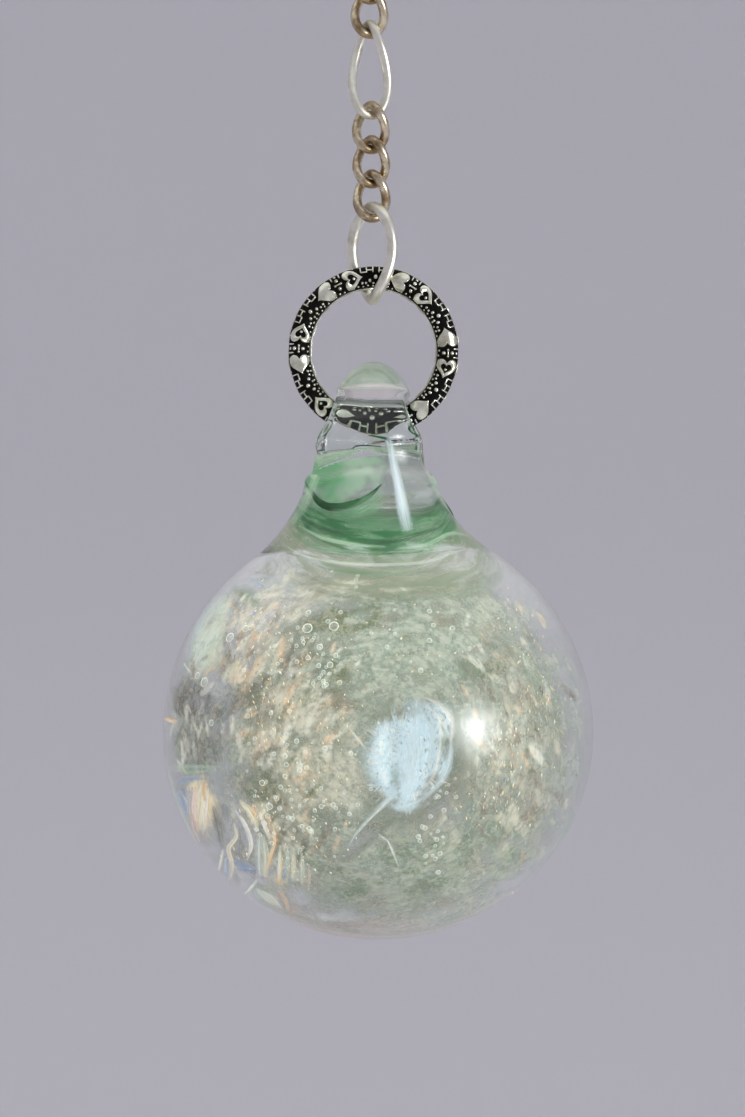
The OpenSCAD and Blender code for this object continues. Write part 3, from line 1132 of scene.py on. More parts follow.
def swirl_drift(places, twist):
    """The way in which the molten glass was drawn: round the swirl's axis and down its sides."""
    out = places - np.array(ball_centre)
    round_axis = np.cross(np.array(SWIRL_AXIS), out)
    round_axis /= np.linalg.norm(round_axis, axis=1)[:, None]
    down = np.cross(round_axis, out)
    down /= np.linalg.norm(down, axis=1)[:, None]
    return down + round_axis * twist


def make_cloud_flecks(name):
    """Flecks scattered through the cloud, as the table's row of that name says."""
    count, inner, outer, clump, lengths, widths, twist, seed = FLECKS[name]
    places = cloud_places(count, inner, outer, clump, seed)
    chance = np.random.default_rng(seed + 1)
    lengths = chance.uniform(*lengths, len(places)) * MM
    widths = chance.uniform(*widths, len(places)) * MM
    return scatter_flecks(name, places, lengths, widths, swirl_drift(places, twist), seed + 2)


def make_shell(radius, seed):
    """A rippled thin shell of glass round the ball's middle."""
    pick()
    bpy.ops.mesh.primitive_ico_sphere_add(subdivisions=5, radius=radius * MM, location=ball_centre)
    shell = settle(bpy.context.object)
    centre = np.array(ball_centre)
    ways = (points_of(shell) - centre) / (radius * MM)
    spots = ways * radius / RIPPLE_L + seed
    lift = np.array([noise.fractal(Vector(spot), *SHELL_NOISE) for spot in spots])
    points = centre + ways * (radius + RIPPLE_H * lift)[:, None] * MM
    set_points(shell, points)
    store_cover(shell, cloud_cover(points))
    return shell


# Splinters of gold and white glass that lie near the casing's front: middle and half sizes in the photograph,
# how many, their length in millimetres, and their lean from upright in degrees
SPLINTER_GROUPS = (
    (200, 800, 16, 24, 16, 0.3, 8), (235, 850, 18, 26, 16, 0.35, 12), (262, 800, 18, 16, 40, 0.26, -6),
    (300, 850, 24, 24, 40, 0.26, -14), (255, 612, 20, 28, 40, 0.26, 28), (270, 690, 24, 40, 60, 0.24, -20),
    (300, 640, 40, 40, 50, 0.2, -30), (330, 720, 50, 50, 50, 0.18, -20), (505, 745, 22, 46, 70, 0.26, 4),
    (540, 690, 18, 50, 40, 0.26, 14), (520, 630, 30, 30, 30, 0.22, 24), (484, 800, 26, 24, 30, 0.22, -30),
    (400, 640, 80, 40, 40, 0.16, 60), (320, 800, 50, 40, 50, 0.18, -20),
)
# How far splinters stray, as a share of their group's half sizes, and from its lean, in degrees
SPLINTER_SPREAD = 0.55
SPLINTER_STRAY = 14
# How far out splinters lie, as shares of the ball's radius, their lengths as shares of their group's, their
# widths in millimetres, and how firmly they keep to their lean
SPLINTER_REACH = (0.97, 0.985)
SPLINTER_LENGTHS = (0.3, 1.0)
SPLINTER_WIDTHS = (0.04, 0.1)
SPLINTER_DRIFT = 5


def make_splinters():
    chance = np.random.default_rng(SEEDS["splinters"])
    places, drifts, lengths, widths = [], [], [], []
    for x, y, half_w, half_h, count, length, lean in SPLINTER_GROUPS:
        for _ in range(count):
            px_x = x + chance.normal(0, SPLINTER_SPREAD) * half_w
            px_y = y + chance.normal(0, SPLINTER_SPREAD) * half_h
            places.append(seen_in_ball(px_x, px_y, chance.uniform(*SPLINTER_REACH)))
            turn = math.radians(lean + chance.normal(0, SPLINTER_STRAY))
            out = places[-1] - np.array(ball_centre)
            drift = np.array([math.sin(turn), 0, math.cos(turn)])
            drift = drift - out * (drift @ out) / (out @ out)
            drifts.append(drift)
            lengths.append(length * chance.uniform(*SPLINTER_LENGTHS) * MM)
            widths.append(chance.uniform(*SPLINTER_WIDTHS) * MM)
    drifts = np.array(drifts) * SPLINTER_DRIFT
    lengths, widths = np.array(lengths), np.array(widths)
    return scatter_flecks("splinters", np.array(places), lengths, widths, drifts, SEEDS["splinter grains"])


# Drawn sheets: glass pulled out into thin folds and streaks, charted by where they show in the photograph

# Colour on the left edge, in the middle and on the right edge of a sheet
SHEET_LOOKS = {
    "milk": ((176, 194, 204), (206, 214, 198), (214, 212, 186)),
    "gold": ((226, 230, 226), (248, 240, 214), (240, 216, 176)),
    "amber": ((242, 232, 206), (238, 200, 146), (204, 160, 118)),
    "deep green": ((38, 96, 52), (20, 76, 34), (34, 92, 50)),
    "shade": ((164, 162, 150), (174, 164, 154), (164, 162, 150)),
    "pink": ((226, 214, 214), (232, 202, 190), (214, 190, 184)),
    "blue": ((150, 172, 206), (122, 146, 186), (184, 198, 206)),
    "white": ((214, 222, 232), (250, 250, 246), (240, 214, 190)),
    "rose": ((216, 194, 182), (222, 190, 178), (200, 188, 178)),
    "smoke": ((126, 134, 122), (118, 122, 112), (136, 130, 118)),
    "green": ((126, 164, 130), (92, 142, 102), (132, 168, 134)),
    "pale green": ((190, 210, 186), (160, 196, 162), (190, 208, 184)),
    "ice": ((206, 220, 232), (218, 232, 238), (196, 214, 226)),
    "lilac": ((190, 180, 184), (200, 188, 192), (190, 180, 184)),
    "glare": ((196, 208, 218), (226, 236, 244), (200, 212, 220)),
    "sage": ((176, 194, 188), (164, 182, 172), (180, 198, 192)),
}
# Colours of the soft smears
SMEAR_LOOKS = {
    "mist": (152, 161, 149), "haze": (164, 175, 161), "cream": (207, 201, 184), "olive": (84, 98, 46),
    "brown": (140, 124, 106), "smoke": (84, 88, 78), "moss": (108, 130, 102), "grey green": (154, 164, 152),
    "milk": (208, 218, 208), "gold": (250, 232, 196), "rose": (176, 166, 158), "blue": (146, 168, 200),
    "veil": (100, 113, 105), "leaf green": (92, 150, 106), "pale green": (152, 180, 154),
    "ice": (203, 221, 232), "white ice": (224, 235, 240), "grey ice": (160, 180, 190),
    "orange": (234, 200, 164), "white": (236, 234, 222), "umber": (96, 84, 66),
}
SMEAR_DENSITY = 0.95
SMEAR_EDGE = (0.55, 0.6)
SMEAR_RAGGED = 0.45
# Length of the ragged forms along a smear's edge, in the photograph
SMEAR_RAG_PX = 26
# The ball's leaf: how far out it lies and where it fades, as shares of the radius, and how clear its gap is
LEAF_REACH = 0.965
LEAF_FADES = 0.93
LEAF_CLEARING = 0.96
# Streaks of a leaf: how fast they change with the angle and with the reach from the ball's middle
LEAF_STREAKS = (6.0, 0.16)
# In the neck they change this much more slowly
NECK_STREAKS = 0.08
# Below this thickness a leaf is left out
LEAF_THINNEST = 0.01
# Depths of the neck's leaf, and of its first sheet and each further one, in millimetres
NECK_LEAF_DEPTH = 1.3
NECK_SHEET_DEPTH = 0.18
NECK_SHEET_STEP = 0.02
# How far out the casing's first sheet lies, as a share of the radius, and how much further the last one does
CASING_REACH = 0.955
CASING_SPAN = 0.03
# The wisp's leaf, in millimetres: how far its middle lies forward, how much it cups, the gap between its
# layers, and how far its body lies behind them
WISP_FORWARD = 0.4
WISP_CUP = 0.16
WISP_LAYER = 0.02
WISP_BODY_BACK = 0.1
# What each leaf covers of the photograph: left, top, right and bottom, and its step
BALL_WINDOW_PX = (164, 548, 592, 948, 1.5)
# Each smear's look, its thickness, its middle and half sizes in the photograph, and its lean in degrees
BALL_SMEARS = (
    ("mist", 0.3, 378, 735, 240, 230, 0), ("mist", 0.45, 402, 745, 176, 186, 0),
    ("cream", 0.75, 285, 598, 66, 24, -28), ("cream", 0.5, 350, 580, 60, 10, 0),
    ("haze", 0.5, 420, 590, 110, 26, 0), ("haze", 0.6, 405, 652, 76, 46, 0),
    ("cream", 0.9, 300, 690, 50, 36, 30), ("cream", 0.8, 285, 830, 36, 40, 0),
    ("cream", 0.15, 500, 620, 60, 34, 30), ("cream", 0.4, 505, 740, 46, 56, 10),
    ("cream", 0.95, 262, 732, 44, 26, 0), ("cream", 0.8, 320, 765, 60, 34, 20),
    ("haze", 0.65, 395, 872, 90, 34, 0), ("olive", 0.95, 340, 612, 44, 17, -8),
    ("olive", 0.8, 341, 658, 14, 20, 12), ("brown", 0.6, 262, 690, 18, 32, 16),
    ("brown", 0.7, 339, 690, 9, 12, 0), ("olive", 0.7, 481, 660, 30, 13, 6),
    ("brown", 0.6, 513, 686, 20, 16, 40), ("olive", 0.65, 258, 772, 34, 20, 0),
    ("moss", 0.4, 300, 820, 30, 14, 20), ("moss", 0.65, 472, 826, 56, 24, -14),
    ("moss", 0.55, 502, 862, 36, 18, -20), ("haze", 0.65, 356, 866, 74, 36, 0),
    ("brown", 0.4, 528, 790, 24, 30, 0), ("mist", 0.5, 204, 730, 56, 130, 0),
    ("smoke", 1.0, 190, 696, 28, 28, -14), ("moss", 0.5, 194, 744, 32, 24, 0),
    ("smoke", 0.5, 252, 678, 11, 18, 0), ("olive", 0.45, 243, 590, 22, 14, -30),
    # The milk smears at 206, 622 and 204, 650 are a painted highlight: the bright image of a window light seen
    # through the glass
    ("haze", 0.5, 232, 730, 14, 30, 0), ("milk", 0.95, 206, 622, 26, 38, 26),
    ("milk", 0.7, 204, 650, 22, 16, 0), ("cream", 0.5, 270, 645, 18, 20, 20),
    ("smoke", 0.6, 204, 726, 34, 40, 0), ("smoke", 0.5, 232, 690, 12, 26, 16),
    ("gold", 0.6, 240, 652, 10, 26, 20), ("gold", 1.0, 203, 798, 17, 30, -6),
    ("rose", 0.6, 197, 828, 14, 14, 0), ("blue", 0.6, 183, 794, 9, 15, 0),
    ("smoke", 0.6, 221, 815, 11, 24, -10), ("brown", 0.5, 238, 838, 10, 20, 10),
    ("milk", 0.9, 262, 846, 12, 30, -8), ("gold", 0.7, 278, 838, 10, 26, -8),
    ("milk", 0.8, 292, 854, 24, 24, 0), ("gold", 0.45, 258, 806, 22, 16, 30),
    ("blue", 0.5, 245, 858, 14, 9, 20), ("smoke", 0.4, 225, 884, 10, 22, 34),
    ("pale green", 0.7, 266, 890, 22, 20, 30), ("rose", 0.9, 296, 912, 50, 18, 18),
    ("rose", 1.0, 380, 926, 100, 20, 0), ("mist", 1.0, 470, 912, 66, 20, -22),
    ("pale green", 0.5, 545, 862, 15, 46, 38), ("mist", 0.5, 575, 740, 22, 110, 4),
)
# Where small smears lie: their looks, how many, middle and half sizes, their length and width, and their lean
SMEAR_ZONES = (
    (("white", "umber", "white", "cream", "orange", "brown", "white"), 150, 262, 640, 52, 70, 9, 2.6, -58),
    (("white", "brown", "cream", "white", "olive", "orange"), 100, 300, 725, 76, 60, 9, 2.8, -50),
    (("white", "umber", "cream", "brown", "orange"), 90, 272, 832, 44, 46, 10, 2.6, -70),
    (("haze", "grey green", "haze"), 50, 400, 640, 80, 60, 12, 5.0, -10),
    (("cream", "white", "haze", "brown"), 60, 340, 582, 90, 12, 12, 2.2, -8),
    (("cream", "brown", "white", "orange", "umber"), 80, 515, 690, 40, 90, 9, 2.6, 66),
    (("cream", "brown", "cream"), 50, 500, 790, 60, 50, 9, 3.5, 80),
    (("grey green", "haze", "moss"), 60, 390, 860, 110, 50, 13, 5.0, 10),
    (("smoke", "white", "brown"), 30, 190, 720, 22, 40, 12, 2.0, -86),
)
# Small smears: the range of their sizes and thicknesses, how far they stray as a share of their zone's half
# sizes, and from its lean, in degrees
SMALL_SMEAR_SIZES = (0.6, 1.6)
SMALL_SMEAR_THICKNESSES = (0.3, 0.85)
SMALL_SMEAR_SPREAD = 0.6
SMALL_SMEAR_STRAY = 18
NECK_WINDOW_PX = (290, 436, 462, 540, 1.7)
NECK_SMEARS = (
    ("veil", 0.6, 375, 486, 100, 60, 0), ("pale green", 0.8, 346, 474, 42, 30, -24),
    ("leaf green", 0.95, 334, 478, 21, 20, 0), ("leaf green", 0.75, 352, 520, 46, 14, -8),
    ("leaf green", 0.75, 446, 512, 10, 30, -36),
)
WISP_WINDOW_PX = (340, 685, 480, 860, 1.0)
WISP_SMEARS = (
    ("ice", 0.97, 414, 752, 40, 52, 8), ("ice", 0.95, 396, 750, 34, 38, 0),
    ("ice", 0.8, 376, 758, 20, 34, 0), ("ice", 0.95, 430, 722, 26, 26, -20),
    ("ice", 0.95, 410, 790, 26, 20, -20), ("white ice", 0.7, 383, 752, 18, 24, 0),
    ("grey ice", 0.5, 397, 773, 9, 10, 0), ("white ice", 0.6, 422, 768, 10, 24, 10),
    ("white ice", 0.7, 447, 728, 8, 16, 0), ("grey ice", 0.5, 409, 702, 8, 14, 0),
)
# Each sheet's look, its thickness from 0 to 1, and its way: across, down and width in the photograph
CASING_SHEETS = (
    # The first milk sheet is the same painted highlight: the bright image of a window light seen through the
    # glass
    ("milk", 0.85, ((230, 588, 8), (219, 603, 24), (208, 626, 38), (203, 648, 38), (202, 660, 24))),
    ("amber", 0.8, (
        (187, 655, 3), (197, 661, 4), (210, 662, 4), (221, 653, 4), (230, 641, 3), (232, 630, 2),
    )),
    ("white", 0.9, ((184, 657, 2), (191, 666, 4), (199, 677, 2))),
    ("amber", 0.7, ((231, 592, 3), (237, 604, 5), (234, 614, 5), (226, 622, 3))),
    ("white", 0.7, ((237, 592, 2), (241, 597, 3), (245, 602, 2))),
    ("green", 0.6, ((234, 583, 8), (249, 589, 22), (263, 598, 8))),
    ("blue", 0.5, ((250, 571, 3), (262, 578, 6), (276, 585, 3))),
    ("amber", 0.6, ((250, 632, 3), (262, 625, 5), (272, 617, 3))),
    ("amber", 0.7, ((248, 636, 3), (250, 646, 5), (252, 655, 2))),
    ("blue", 0.7, ((238, 636, 3), (236, 650, 6), (232, 669, 3))),
    ("gold", 0.8, ((237, 646, 3), (240, 660, 6), (236, 674, 5), (232, 685, 2))),
    ("gold", 0.8, ((242, 683, 3), (246, 693, 6), (253, 703, 3))),
    ("milk", 0.6, ((262, 628, 6), (274, 642, 14), (276, 662, 10), (268, 676, 4))),
    ("gold", 0.5, ((285, 628, 4), (279, 646, 8), (270, 664, 4))),
    ("smoke", 0.55, ((243, 662, 6), (252, 674, 18), (262, 686, 6))),
    ("smoke", 0.4, ((228, 636, 4), (229, 652, 12), (226, 670, 6))),
    ("smoke", 0.55, ((172, 682, 10), (183, 706, 34), (194, 734, 40), (200, 756, 16))),
    ("rose", 0.4, ((172, 692, 6), (184, 695, 14), (196, 700, 6))),
    ("amber", 1.0, ((165, 713, 6), (171, 714, 7), (178, 714, 6))),
    ("pale green", 0.3, ((170, 762, 5), (190, 761, 12), (222, 757, 6))),
    ("blue", 0.5, ((176, 778, 4), (190, 771, 8), (207, 769, 4))),
    ("gold", 0.9, ((206, 774, 6), (203, 790, 17), (201, 808, 16), (198, 824, 6))),
    ("pink", 0.7, ((197, 778, 4), (194, 794, 10), (195, 812, 9), (198, 826, 3))),
    ("white", 0.8, ((209, 778, 3), (207, 794, 6), (205, 812, 5), (203, 826, 2))),
    ("blue", 0.8, ((179, 784, 4), (184, 796, 11), (187, 808, 4))),
    ("amber", 0.9, ((206, 766, 2), (204, 780, 5), (206, 792, 3))),
    ("rose", 0.7, ((192, 806, 5), (194, 822, 11), (200, 836, 4))),
    ("smoke", 0.35, ((214, 796, 4), (219, 818, 12), (222, 842, 3))),
    ("white", 0.9, ((223, 840, 2), (220, 855, 4), (216, 869, 2))),
    ("gold", 1.0, ((235, 812, 2), (237, 826, 5), (229, 839, 6), (232, 857, 6), (228, 876, 2))),
    ("blue", 0.85, ((226, 848, 3), (225, 860, 7), (226, 872, 3))),
    ("smoke", 0.35, ((240, 808, 3), (243, 830, 9), (238, 850, 3))),
    ("white", 0.85, ((237, 799, 2), (246, 812, 5), (252, 832, 5), (247, 850, 2))),
    ("blue", 0.8, ((234, 850, 6), (244, 857, 15), (256, 860, 6))),
    ("milk", 0.8, ((262, 822, 8), (263, 844, 18), (262, 866, 12))),
    ("amber", 0.95, ((275, 814, 2), (276, 828, 5), (271, 845, 6), (266, 862, 2))),
    ("gold", 0.9, ((242, 788, 3), (252, 799, 9), (259, 814, 4))),
    ("white", 0.9, ((261, 798, 2), (266, 812, 6), (271, 826, 2))),
    ("gold", 0.8, ((281, 832, 2), (281, 852, 6), (279, 870, 3))),
    ("milk", 0.7, ((288, 836, 3), (287, 854, 6), (286, 872, 3))),
    ("blue", 0.6, ((286, 850, 2), (285, 862, 5), (284, 872, 2))),
    ("gold", 0.75, ((295, 833, 2), (294, 851, 5), (293, 868, 2))),
    ("milk", 0.6, ((302, 838, 3), (302, 856, 6), (301, 872, 3))),
    ("rose", 0.6, ((309, 850, 2), (309, 864, 5), (308, 878, 2))),
    ("amber", 0.8, ((276, 866, 2), (281, 871, 4), (287, 866, 2))),
    ("white", 1.0, ((259, 867, 2), (250, 880, 5), (240, 893, 2))),
    ("milk", 0.75, ((254, 880, 8), (266, 893, 24), (282, 906, 10))),
    ("amber", 0.7, ((278, 878, 2), (285, 890, 5), (289, 909, 3))),
    ("shade", 0.85, ((258, 892, 8), (318, 921, 15), (380, 932, 18), (450, 922, 15), (508, 894, 8))),
    ("rose", 0.5, ((285, 914, 4), (310, 923, 8), (345, 930, 8), (388, 934, 4))),
    ("pale green", 0.4, ((167, 755, 5), (175, 786, 7), (191, 826, 7), (211, 862, 6), (236, 890, 3))),
    ("green", 0.6, ((516, 896, 4), (541, 870, 11), (558, 842, 9), (571, 808, 4))),
    ("white", 0.5, ((377, 819, 2), (386, 826, 3), (391, 838, 3), (396, 852, 1.5))),
    ("white", 0.5, ((350, 716, 1.5), (358, 726, 3), (366, 736, 1.5))),
)
NECK_SHEETS = (
    ("green", 0.65, ((332, 514, 8), (352, 514, 16), (370, 505, 22), (384, 494, 6))),
    ("pale green", 0.55, ((335, 430, 3), (327, 452, 6), (317, 478, 9), (303, 508, 11), (292, 524, 6))),
    ("pale green", 0.55, ((413, 428, 3), (421, 450, 6), (428, 476, 9), (443, 504, 11), (458, 522, 6))),
    ("green", 0.7, ((428, 480, 2), (437, 496, 4), (449, 512, 5), (462, 530, 2))),
    ("green", 0.6, ((446, 496, 2), (455, 512, 4), (468, 530, 2))),
    # The lilac sheet along the dome's lower edge is a painted highlight
    ("lilac", 0.7, ((337, 393, 3), (356, 390, 6), (375, 389, 7), (392, 390, 6), (409, 393, 3))),
    ("glare", 0.8, ((388, 440, 8), (392, 464, 10), (397, 490, 12), (401, 514, 15), (405, 533, 14))),
    ("deep green", 0.8, ((298, 515, 2), (312, 526, 4), (333, 532, 5), (362, 535, 2))),
    ("deep green", 0.8, ((358, 545, 2), (382, 544, 5), (407, 539, 5), (431, 532, 4), (448, 521, 2))),
    ("green", 0.7, ((294, 534, 3), (314, 547, 6), (343, 554, 7), (374, 555, 3))),
    ("deep green", 0.7, ((426, 498, 2), (438, 510, 4), (450, 520, 4), (460, 532, 2))),
    ("green", 0.6, ((324, 473, 2), (336, 462, 3), (351, 454, 2))),
    ("pale green", 0.7, ((300, 527, 2), (322, 539, 5), (352, 546, 5), (384, 549, 2))),
    ("pale green", 0.6, ((392, 551, 2), (420, 548, 5), (446, 537, 5), (466, 540, 2))),
    ("milk", 0.6, ((284, 545, 2), (309, 559, 4), (348, 566, 5), (390, 567, 4), (426, 564, 4), (462, 552, 2))),
    ("green", 0.5, ((310, 566, 2), (345, 573, 4), (388, 575, 4), (420, 572, 2))),
    ("green", 0.6, ((440, 545, 2), (458, 545, 4), (476, 556, 2))),
    # The white sheet at the loop's left shoulder is a painted highlight
    ("white", 0.95, ((327, 425, 7), (333, 432, 14), (342, 441, 6))),
    ("gold", 0.7, ((324, 452, 2), (327, 457, 6), (330, 461, 2))),
)
WISP_SHEETS = (
    ("ice", 0.9, ((417, 704, 8), (416, 730, 34), (412, 760, 38), (408, 788, 24), (402, 802, 8))),
    ("ice", 0.75, ((388, 716, 5), (382, 740, 24), (380, 766, 26), (386, 790, 12))),
    ("white", 0.95, ((424, 696, 2), (437, 702, 5), (449, 714, 8), (454, 729, 7), (451, 743, 4))),
    ("ice", 1.0, ((452, 740, 3), (450, 759, 8), (443, 778, 9), (424, 799, 4))),
    ("white", 0.7, (
        (428, 706, 2), (439, 716, 6), (442, 733, 4), (440, 753, 5), (435, 773, 6), (420, 792, 2),
    )),
    ("ice", 0.9, ((422, 715, 3), (433, 729, 7), (432, 748, 8), (428, 768, 8), (414, 787, 3))),
    ("sage", 0.7, ((442, 724, 2), (446, 736, 5), (442, 751, 2))),
    ("sage", 0.5, ((395, 766, 3), (396, 776, 10), (394, 784, 3))),
    ("white", 0.6, ((378, 738, 3), (381, 746, 9), (379, 754, 3))),
    ("white", 0.55, ((382, 768, 3), (383, 776, 10), (386, 784, 3))),
    ("ice", 0.95, ((396, 790, 5), (382, 803, 8), (368, 815, 6), (355, 829, 3), (347, 842, 1))),
    ("white", 0.8, ((394, 794, 2), (380, 806, 3), (366, 819, 2), (352, 834, 1))),
    ("ice", 0.9, ((426, 796, 3), (412, 803, 8), (397, 806, 7), (390, 803, 3))),
    ("blue", 0.4, ((405, 688, 4), (408, 700, 12), (406, 714, 6))),
)
# The wisp's frayed edge: middle of each tuft, its spread, the way it points in degrees, its length, how many
WISP_TUFTS = (
    (395, 722, 5, 92, 15, 5), (404, 724, 6, 88, 9, 6), (384, 728, 6, 100, 10, 7), (376, 736, 6, 150, 9, 7),
    (372, 752, 8, 178, 9, 8), (372, 770, 8, 186, 8, 8), (378, 786, 6, 215, 8, 6), (410, 800, 8, 272, 9, 7),
    (437, 786, 6, 320, 5, 5), (424, 704, 5, 96, 7, 4),
)
TUFT_LOOKS = ("ice", "ice", "white")
# A tuft's width in the photograph at shares of its length
TUFT_WIDTHS = ((-0.4, 2.0), (0.3, 3.4), (1.0, 0.6))
# How far a tuft strays as a share of its spread, and from its way in degrees, then the range of its length
# as a share of the charted one, and of its thickness
TUFT_SPREAD = 0.6
TUFT_STRAY = 14
TUFT_LENGTHS = (0.6, 1.3)
TUFT_THICKNESSES = (0.5, 0.95)
# How strong the painted glow of drawn glass and of the wisp is: emission that stands in for light
DRAWN_PAINTED_GLOW = 0.22
WISP_PAINTED_GLOW = 0.62
SHEET_ROWS = 24
SHEET_COLUMNS = 7
# Just inside its ends a sheet begins to show, as shares of its length
SHEET_ENDS = (0.04, 0.96)
CASING_STRANDS = 5
# How thick a sheet is beside the strands drawn in it, and the strands' tones, as shares of white or black
SHEET_BODY = 0.8
STRAND_TONES = (0.55, 0.35, 0.2, 0.1, -0.3)
STRAND_DARK = 0.06
# A strand's offset and width as shares of its sheet's half width, and its thickness as a share of the sheet's
STRAND_OFFSETS = (-0.75, 0.75)
STRAND_WIDTHS = (0.1, 0.3)
STRAND_THICKNESSES = (0.7, 1.2)
# How far from its own sheet towards the next one a strand lies
STRAND_LAYER = 0.9
# Streaks of a sheet: how fast they change along it, across it, and from sheet to sheet
SHEET_STREAKS = (0.07, 0.35, 7.3)


def curve_through(points, count):
    """A smooth curve through the points, whose first and last are its ends."""
    points = np.array(points, float)
    padded = np.vstack([2 * points[0] - points[1], points, 2 * points[-1] - points[-2]])
    t = np.linspace(0, len(points) - 1 - 1e-9, count)
    i = t.astype(int)
    f = (t - i)[:, None]
    a, b, c, d = padded[i], padded[i + 1], padded[i + 2], padded[i + 3]
    bend = 2 * a - 5 * b + 4 * c - d
    return 0.5 * (2 * b + (c - a) * f + bend * f ** 2 + (3 * b - 3 * c + d - a) * f ** 3)


def sheet_grid(way, offset=0.0, narrow=1.0):
    """Places over a sheet or a narrow strand of it, their share across it, and how far across they lie."""
    path = curve_through(way, SHEET_ROWS)
    slope = np.gradient(path[:, :2], axis=0)
    slope /= np.maximum(np.linalg.norm(slope, axis=1), 1e-9)[:, None]
    side = np.column_stack([-slope[:, 1], slope[:, 0]]) * path[:, 2:] / 2
    if side[:, 0].sum() < 0:
        side = -side
    share = np.linspace(-1, 1, SHEET_COLUMNS)
    grid = path[:, None, :2] + side[:, None, :] * (offset + narrow * share)[None, :, None]
    return grid, np.broadcast_to(share, grid.shape[:2]), path[:, 2:] * (offset + narrow * share)


def grid_faces(rows, columns, start=0):
    corners = start + np.arange(rows - 1)[:, None] * columns + np.arange(columns - 1)[None, :]
    corners = corners.ravel()
    return np.column_stack([corners, corners + 1, corners + columns + 1, corners + columns]).tolist()


def store_looks(piece, covers, tints, drawn):
    """Gives each point of the piece its thickness, colour and place along its streaks."""
    store_cover(piece, covers)
    tint = piece.data.attributes.new("tint", "FLOAT_COLOR", "POINT")
    tint.data.foreach_set("color", tints.astype(np.float32).ravel())
    way = piece.data.attributes.new("drawn", "FLOAT_VECTOR", "POINT")
    way.data.foreach_set("vector", drawn.astype(np.float32).ravel())


def with_strands(sheets, count):
    """Each sheet of the chart as its thinner body, then its strands with their offset, width and tone."""
    chance = random.Random(SEEDS["strands"])
    for number, (look, thickness, way) in enumerate(sheets):
        yield number, look, thickness * (SHEET_BODY if count else 1.0), way, 0.0, 1.0, 0.0
        for _ in range(count):
            narrow = chance.uniform(*STRAND_WIDTHS)
            offset = chance.uniform(*STRAND_OFFSETS)
            thick = min(1.0, thickness * chance.uniform(*STRAND_THICKNESSES))
            yield number, look, thick, way, offset, narrow, chance.choice(STRAND_TONES)


def make_sheets(name, sheets, place_of, strands=0):
    """Thin streaked sheets, one for each row of the chart, set by place_of(across, down, number)."""
    points, faces, tints, covers, drawn = [], [], [], [], []
    ends = np.sin(np.pi * np.linspace(*SHEET_ENDS, SHEET_ROWS)) ** 0.5
    rows = np.arange(SHEET_ROWS)[:, None] * np.ones(SHEET_COLUMNS)
    by_row, by_width, by_sheet = SHEET_STREAKS
    for number, look, thickness, way, offset, narrow, tone in with_strands(sheets, strands):
        left, middle, right = (np.array(rgb(*colour)) for colour in SHEET_LOOKS[look])
        grid, share, across = sheet_grid(way, offset, narrow)
        faces += grid_faces(SHEET_ROWS, SHEET_COLUMNS, len(points) * SHEET_ROWS * SHEET_COLUMNS)
        layer = number + STRAND_LAYER * (narrow < 1)
        points.append(place_of(grid[..., 0], grid[..., 1], layer).reshape(-1, 3))
        place = offset + narrow * share[..., None]
        side = np.abs(place)
        tint = middle * (1 - side) + np.where(place < 0, left, right) * side
        tint = tint + ((1.0 if tone > 0 else STRAND_DARK) - tint) * abs(tone)
        tints.append(tint.reshape(-1, 4))
        covers.append((thickness * ends[:, None] * (1 - share ** 2)).ravel())
        along = np.stack([rows * by_row, across * by_width, np.full(rows.shape, number * by_sheet)], axis=-1)
        drawn.append(along.reshape(-1, 3))
    piece = mesh_piece(name, np.vstack(points), faces)
    store_looks(piece, np.concatenate(covers), np.vstack(tints), np.vstack(drawn))
    return piece


def scattered_smears(zones):
    """Small smears strewn over the zones, each a little different."""
    chance = random.Random(SEEDS["small smears"])
    smears = []
    for looks, count, x, y, half_w, half_h, length, width, lean in zones:
        for _ in range(count):
            size = chance.uniform(*SMALL_SMEAR_SIZES)
            smears.append((
                chance.choice(looks), chance.uniform(*SMALL_SMEAR_THICKNESSES),
                x + chance.gauss(0, SMALL_SMEAR_SPREAD) * half_w,
                y + chance.gauss(0, SMALL_SMEAR_SPREAD) * half_h,
                length * size, width * size, lean + chance.gauss(0, SMALL_SMEAR_STRAY),
            ))
    return smears


